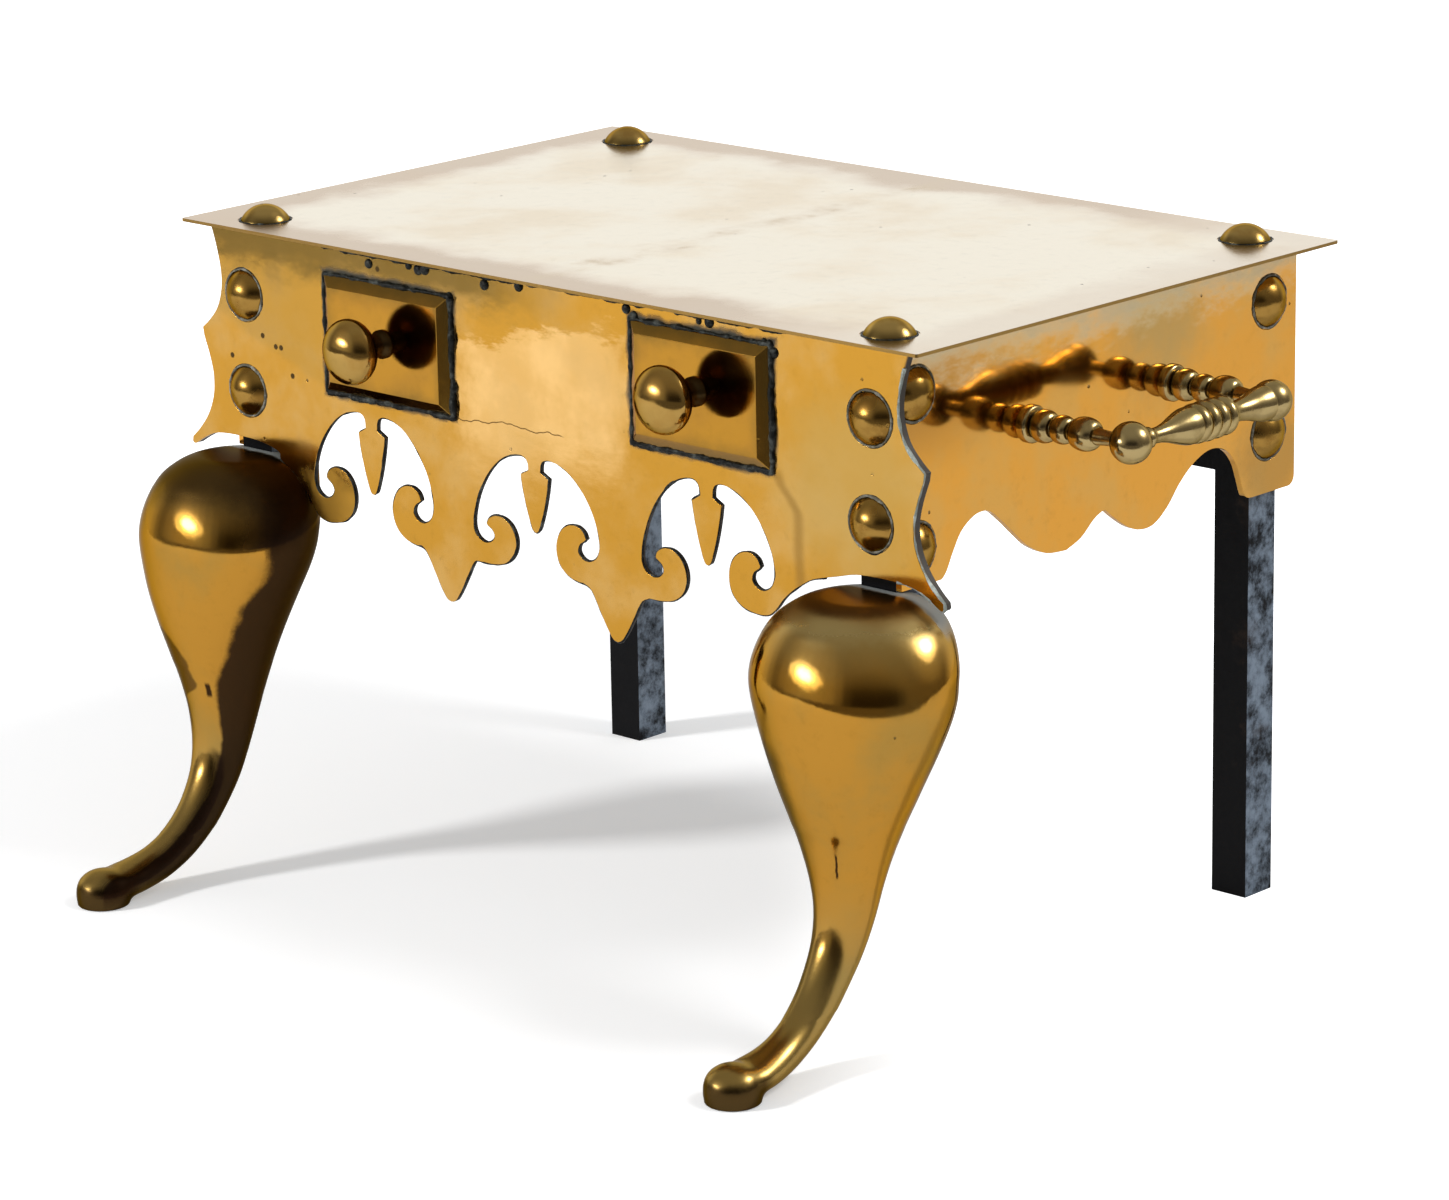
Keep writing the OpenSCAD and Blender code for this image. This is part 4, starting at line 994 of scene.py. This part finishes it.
def rings(node, way, level_at, radius):
    axis = max(range(3), key=lambda i: abs(way[i]))
    u, v = [Vector([1.0 if i == k else 0.0 for i in range(3)]) for k in range(3) if k != axis]
    return [([mid + radius * (cos(a) * u + sin(a) * v) for a in circle(RING_POINTS)], True)
            for mid, _ in stud_places(node, way, level_at)]

polish_bead("polish_round_top_studs", rings("top_studs", UP, PLATE_TOP - 0.0001, 0.0116), black_polish,
            0.0005, 0.0006, 0.004)
polish_bead("polish_round_apron_studs", rings("front_apron_studs", FRONT, APRON_Y, 0.0118), grey_polish,
            0.0006, 0.0008, 0.004)
for side, sign in SIDES:
    polish_bead("polish_round_side_studs_" + side,
                rings("side_studs_" + side, (sign, 0, 0), sign * SIDE_X, 0.0118), grey_polish,
                0.0006, 0.0008, 0.004)

# %% [markdown]
# Knobs, arms, grips and collars were turned on a lathe, so each is a profile of distance
# and radius spun round its own line. The profile is a smooth curve through a few points,
# and each bead is half a wave of a sine.

# %% Turned pieces
def bead(start, end, edge, middle, steps=14):
    return [(start + (end - start) * (1 - cos(pi * k / steps)) / 2,
             edge + (middle - edge) * sin(pi * k / steps)) for k in range(steps + 1)]

def ball(radius, centre, steps=28):
    return [(centre - radius * cos(pi * k / steps), radius * sin(pi * k / steps))
            for k in range(steps + 1)]

def turned_piece(name, profile, spots, way, material, node):
    work = bmesh.new()
    rotate = Vector(way).to_track_quat("Z", "Y").to_matrix()
    for spot in spots:
        verts, faces = lathe([(0.001 * z, 0.001 * max(r, 0.02)) for z, r in profile], 56)
        add_part(work, [rotate @ v for v in verts], faces, spot)
    bmesh.ops.recalc_face_normals(work, faces=work.faces)
    mesh = mesh_from(work, name)
    mesh.shade_smooth()
    mesh.set_sharp_from_angle(angle=radians(50))
    settle(new_object(name, mesh), material, [node])

# %% Drawer knobs
KNOB_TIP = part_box("drawer_knob_left")[0].y
STEM_R, HEAD_R, HEAD_DEEP = 4.5, 14.8, 9.2

def unpolished_side(at):
    return fade(at.facing(0, 1, 0), -0.1, 0.35)

# The back of each knob's head and its stem are painted dark: painted shade under the head.
def painted_shade_behind_head(at):
    return fade(at.y, KNOB_TIP + 0.0135, KNOB_TIP + 0.0165) * 0.9

knob_brass = brass(
    "knob_brass", (0.5, 0.31, 0.085), BROWN_GOLD, 0.45, 0.015, (0.09, 0.18), (14, 1, 1),
    rim=(0.5, 0.4, 0.3), marks=[(unpolished_side, (0.04, 0.024, 0.012), 0.4),
                                (painted_shade_behind_head, (0.025, 0.016, 0.01), 0.4)])
for side, drawer in (("left", LEFT_DRAWER), ("right", RIGHT_DRAWER)):
    low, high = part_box("drawer_knob_" + side)
    face = drawer[0].y
    centre = 1000 * (face - low.y) - HEAD_DEEP
    stem = [(-3, 6.5), (1.2, 6.5), (2.6, 5.1), (4.5, STEM_R), (centre - 9, STEM_R)]
    head = [(centre + z * HEAD_DEEP, r * HEAD_R) for z, r in ball(1, 0)]
    middle = ((low.x + high.x) / 2, face, (low.z + high.z) / 2)
    turned_piece("knob_" + side, stem + [p for p in head if p[1] > STEM_R or p[0] > centre], [middle],
                 FRONT, knob_brass, "drawer_knob_" + side)
print("knobs", 2 * HEAD_R, "mm across on stems of", 2 * STEM_R, "mm")

# %% Handles
# The faces of each handle that look towards the stand are painted dark: painted shade, which also shows in
# their reflection in the side apron.
def painted_shade_towards_stand(at):
    return fade(at.facing(-1, 0, 0) * at.x.sign(), 0.35, 0.8)

handle_brass = brass(
    "handle_brass", (0.52, 0.39, 0.175), (0.31, 0.21, 0.08), 0.6, 0.012, (0.17, 0.3), (1, 6, 1),
    rim=(0.5, 0.43, 0.32), marks=[(painted_shade_towards_stand, (0.085, 0.07, 0.04), 0.3)])
ARM = bead(0, 9.4, 3.9, 7.2) + bead(10, 18.6, 3.7, 6.2) + bead(19.8, 32.4, 3.7, 7.3) + [
    (36, 3.3), (40.5, 3), (44.5, 3.5)]
GRIP = ([(0, 3.8), (1.6, 4.6), (3.2, 4.6), (4.4, 3.5)]
        + spline([(6, 3.3), (11, 3.6), (16, 4.7), (22, 6.6), (27, 7.9), (30.6, 8.1)], 5)
        + bead(31.4, 36.8, 6.9, 8.6) + bead(37.4, 42.8, 6.9, 8.8) + bead(43.4, 48.8, 6.9, 8.7)
        + bead(49.4, 54.6, 6.6, 8.5)
        + spline([(55.4, 5.8), (58.5, 4.7), (63, 4.6), (69, 5.5), (74.5, 7), (79, 7.8), (80.5, 7.8)], 5))
ARM_DRAWN, GRIP_DRAWN, BALL_R = 48, 80.5, 9
COLLAR = [(0, 8.2), (1.5, 8.2), (2.2, 7.8), (2.6, 7.2)]
COLLAR_DEEP = 2.6
FRONT_SEAT, REAR_SEAT = sqrt(BALL_R ** 2 - 3.8 ** 2), sqrt(BALL_R ** 2 - 7.1 ** 2)
for side, sign in SIDES:
    grip_low, grip_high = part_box("handle_grip_" + side)
    line_x, line_z = (grip_low.x + grip_high.x) / 2, (grip_low.z + grip_high.z) / 2
    spots = {}
    for end in ("front", "rear"):
        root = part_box("handle_arm_" + end + "_" + side)
        spots[end] = (root[0].y + root[1].y) / 2
    out = 1000 * abs(line_x) - 1000 * SIDE_X - COLLAR_DEEP
    arm = [(z * (out - 2) / ARM_DRAWN, r) for z, r in ARM] + [p for p in ball(BALL_R, out) if p[0] > out - 8]
    for end, spot in spots.items():
        turned_piece("arm_" + end + "_" + side, arm, [(sign * (SIDE_X + 0.001 * COLLAR_DEEP), spot, line_z)],
                     (sign, 0, 0), handle_brass, "handle_arm_" + end + "_" + side)
    scale = (1000 * (spots["rear"] - spots["front"]) - FRONT_SEAT - REAR_SEAT) / GRIP_DRAWN
    turned_piece("grip_" + side, [(FRONT_SEAT + z * scale, r) for z, r in GRIP],
                 [(line_x, spots["front"], line_z)], (0, 1, 0), handle_brass, "handle_grip_" + side)
    turned_piece("collars_" + side, COLLAR, [(sign * SIDE_X, spot, line_z) for spot in spots.values()],
                 (sign, 0, 0), handle_brass, "handle_collars_" + side)
print("turned pieces made; grip line", round(line_x, 4), round(line_z, 4))

# %% [markdown]
# The posts, rear legs, rails and cross bar are wrought iron, black on top and at the front,
# and mottled blue grey where the forge scale shows. The scale is put only on faces that point
# sideways, so these faces are also painted lighter, as light from the side would make them.
# Iron scale is a dull coat and not bright metal, so the material is mostly plain, with a low
# shine and a lumpy bump.

# %% Iron
RUST = (0.06, 0.035, 0.02)

def iron(name, dark, grey, amount):
    made, shader, at = new_material(name)
    scale = at.clouds(0.012, 8, 0.7)
    # Only faces that point sideways get the grey scale, so they are also painted lighter than the fronts and
    # tops: painted side light.
    scale_and_side_light = fade(abs(at.facing(1, 0, 0)), 0.5, 0.9)
    colour = blend(fade(scale, 0.35, 0.65) * (scale_and_side_light * amount), dark, grey)
    colour = blend(fade(at.clouds(0.03, 6, 0.65), 0.6, 0.75) * 0.4, colour, RUST)
    set_shader(shader, Base_Color=colour, Specular_IOR_Level=0.1, Roughness=at.clouds(0.006, 5) * 0.35 + 0.3,
               Normal=at.bump(0.5, 0.0006, scale))
    return made

frame_iron = iron("frame_iron", (0.003, 0.003, 0.004), (0.29, 0.36, 0.45), 0.95)
nut_iron = iron("nut_iron", (0.03, 0.03, 0.03), (0.1, 0.1, 0.1), 0.6)
for node in ("front_rail", "rear_rail", "side_rail_left", "side_rail_right", "front_post_left",
             "front_post_right"):
    dress(node, frame_iron)
for node in ("drawer_knob_nuts", "leg_screws", "handle_nuts_left", "handle_nuts_right"):
    dress(node, nut_iron)
for node, name in (("rear_leg_left", "rear_leg_left_iron"), ("rear_leg_right", "rear_leg_right_iron"),
                   ("rear_cross_bar", "cross_bar_iron")):
    softened(node, name, 0.0008, frame_iron)
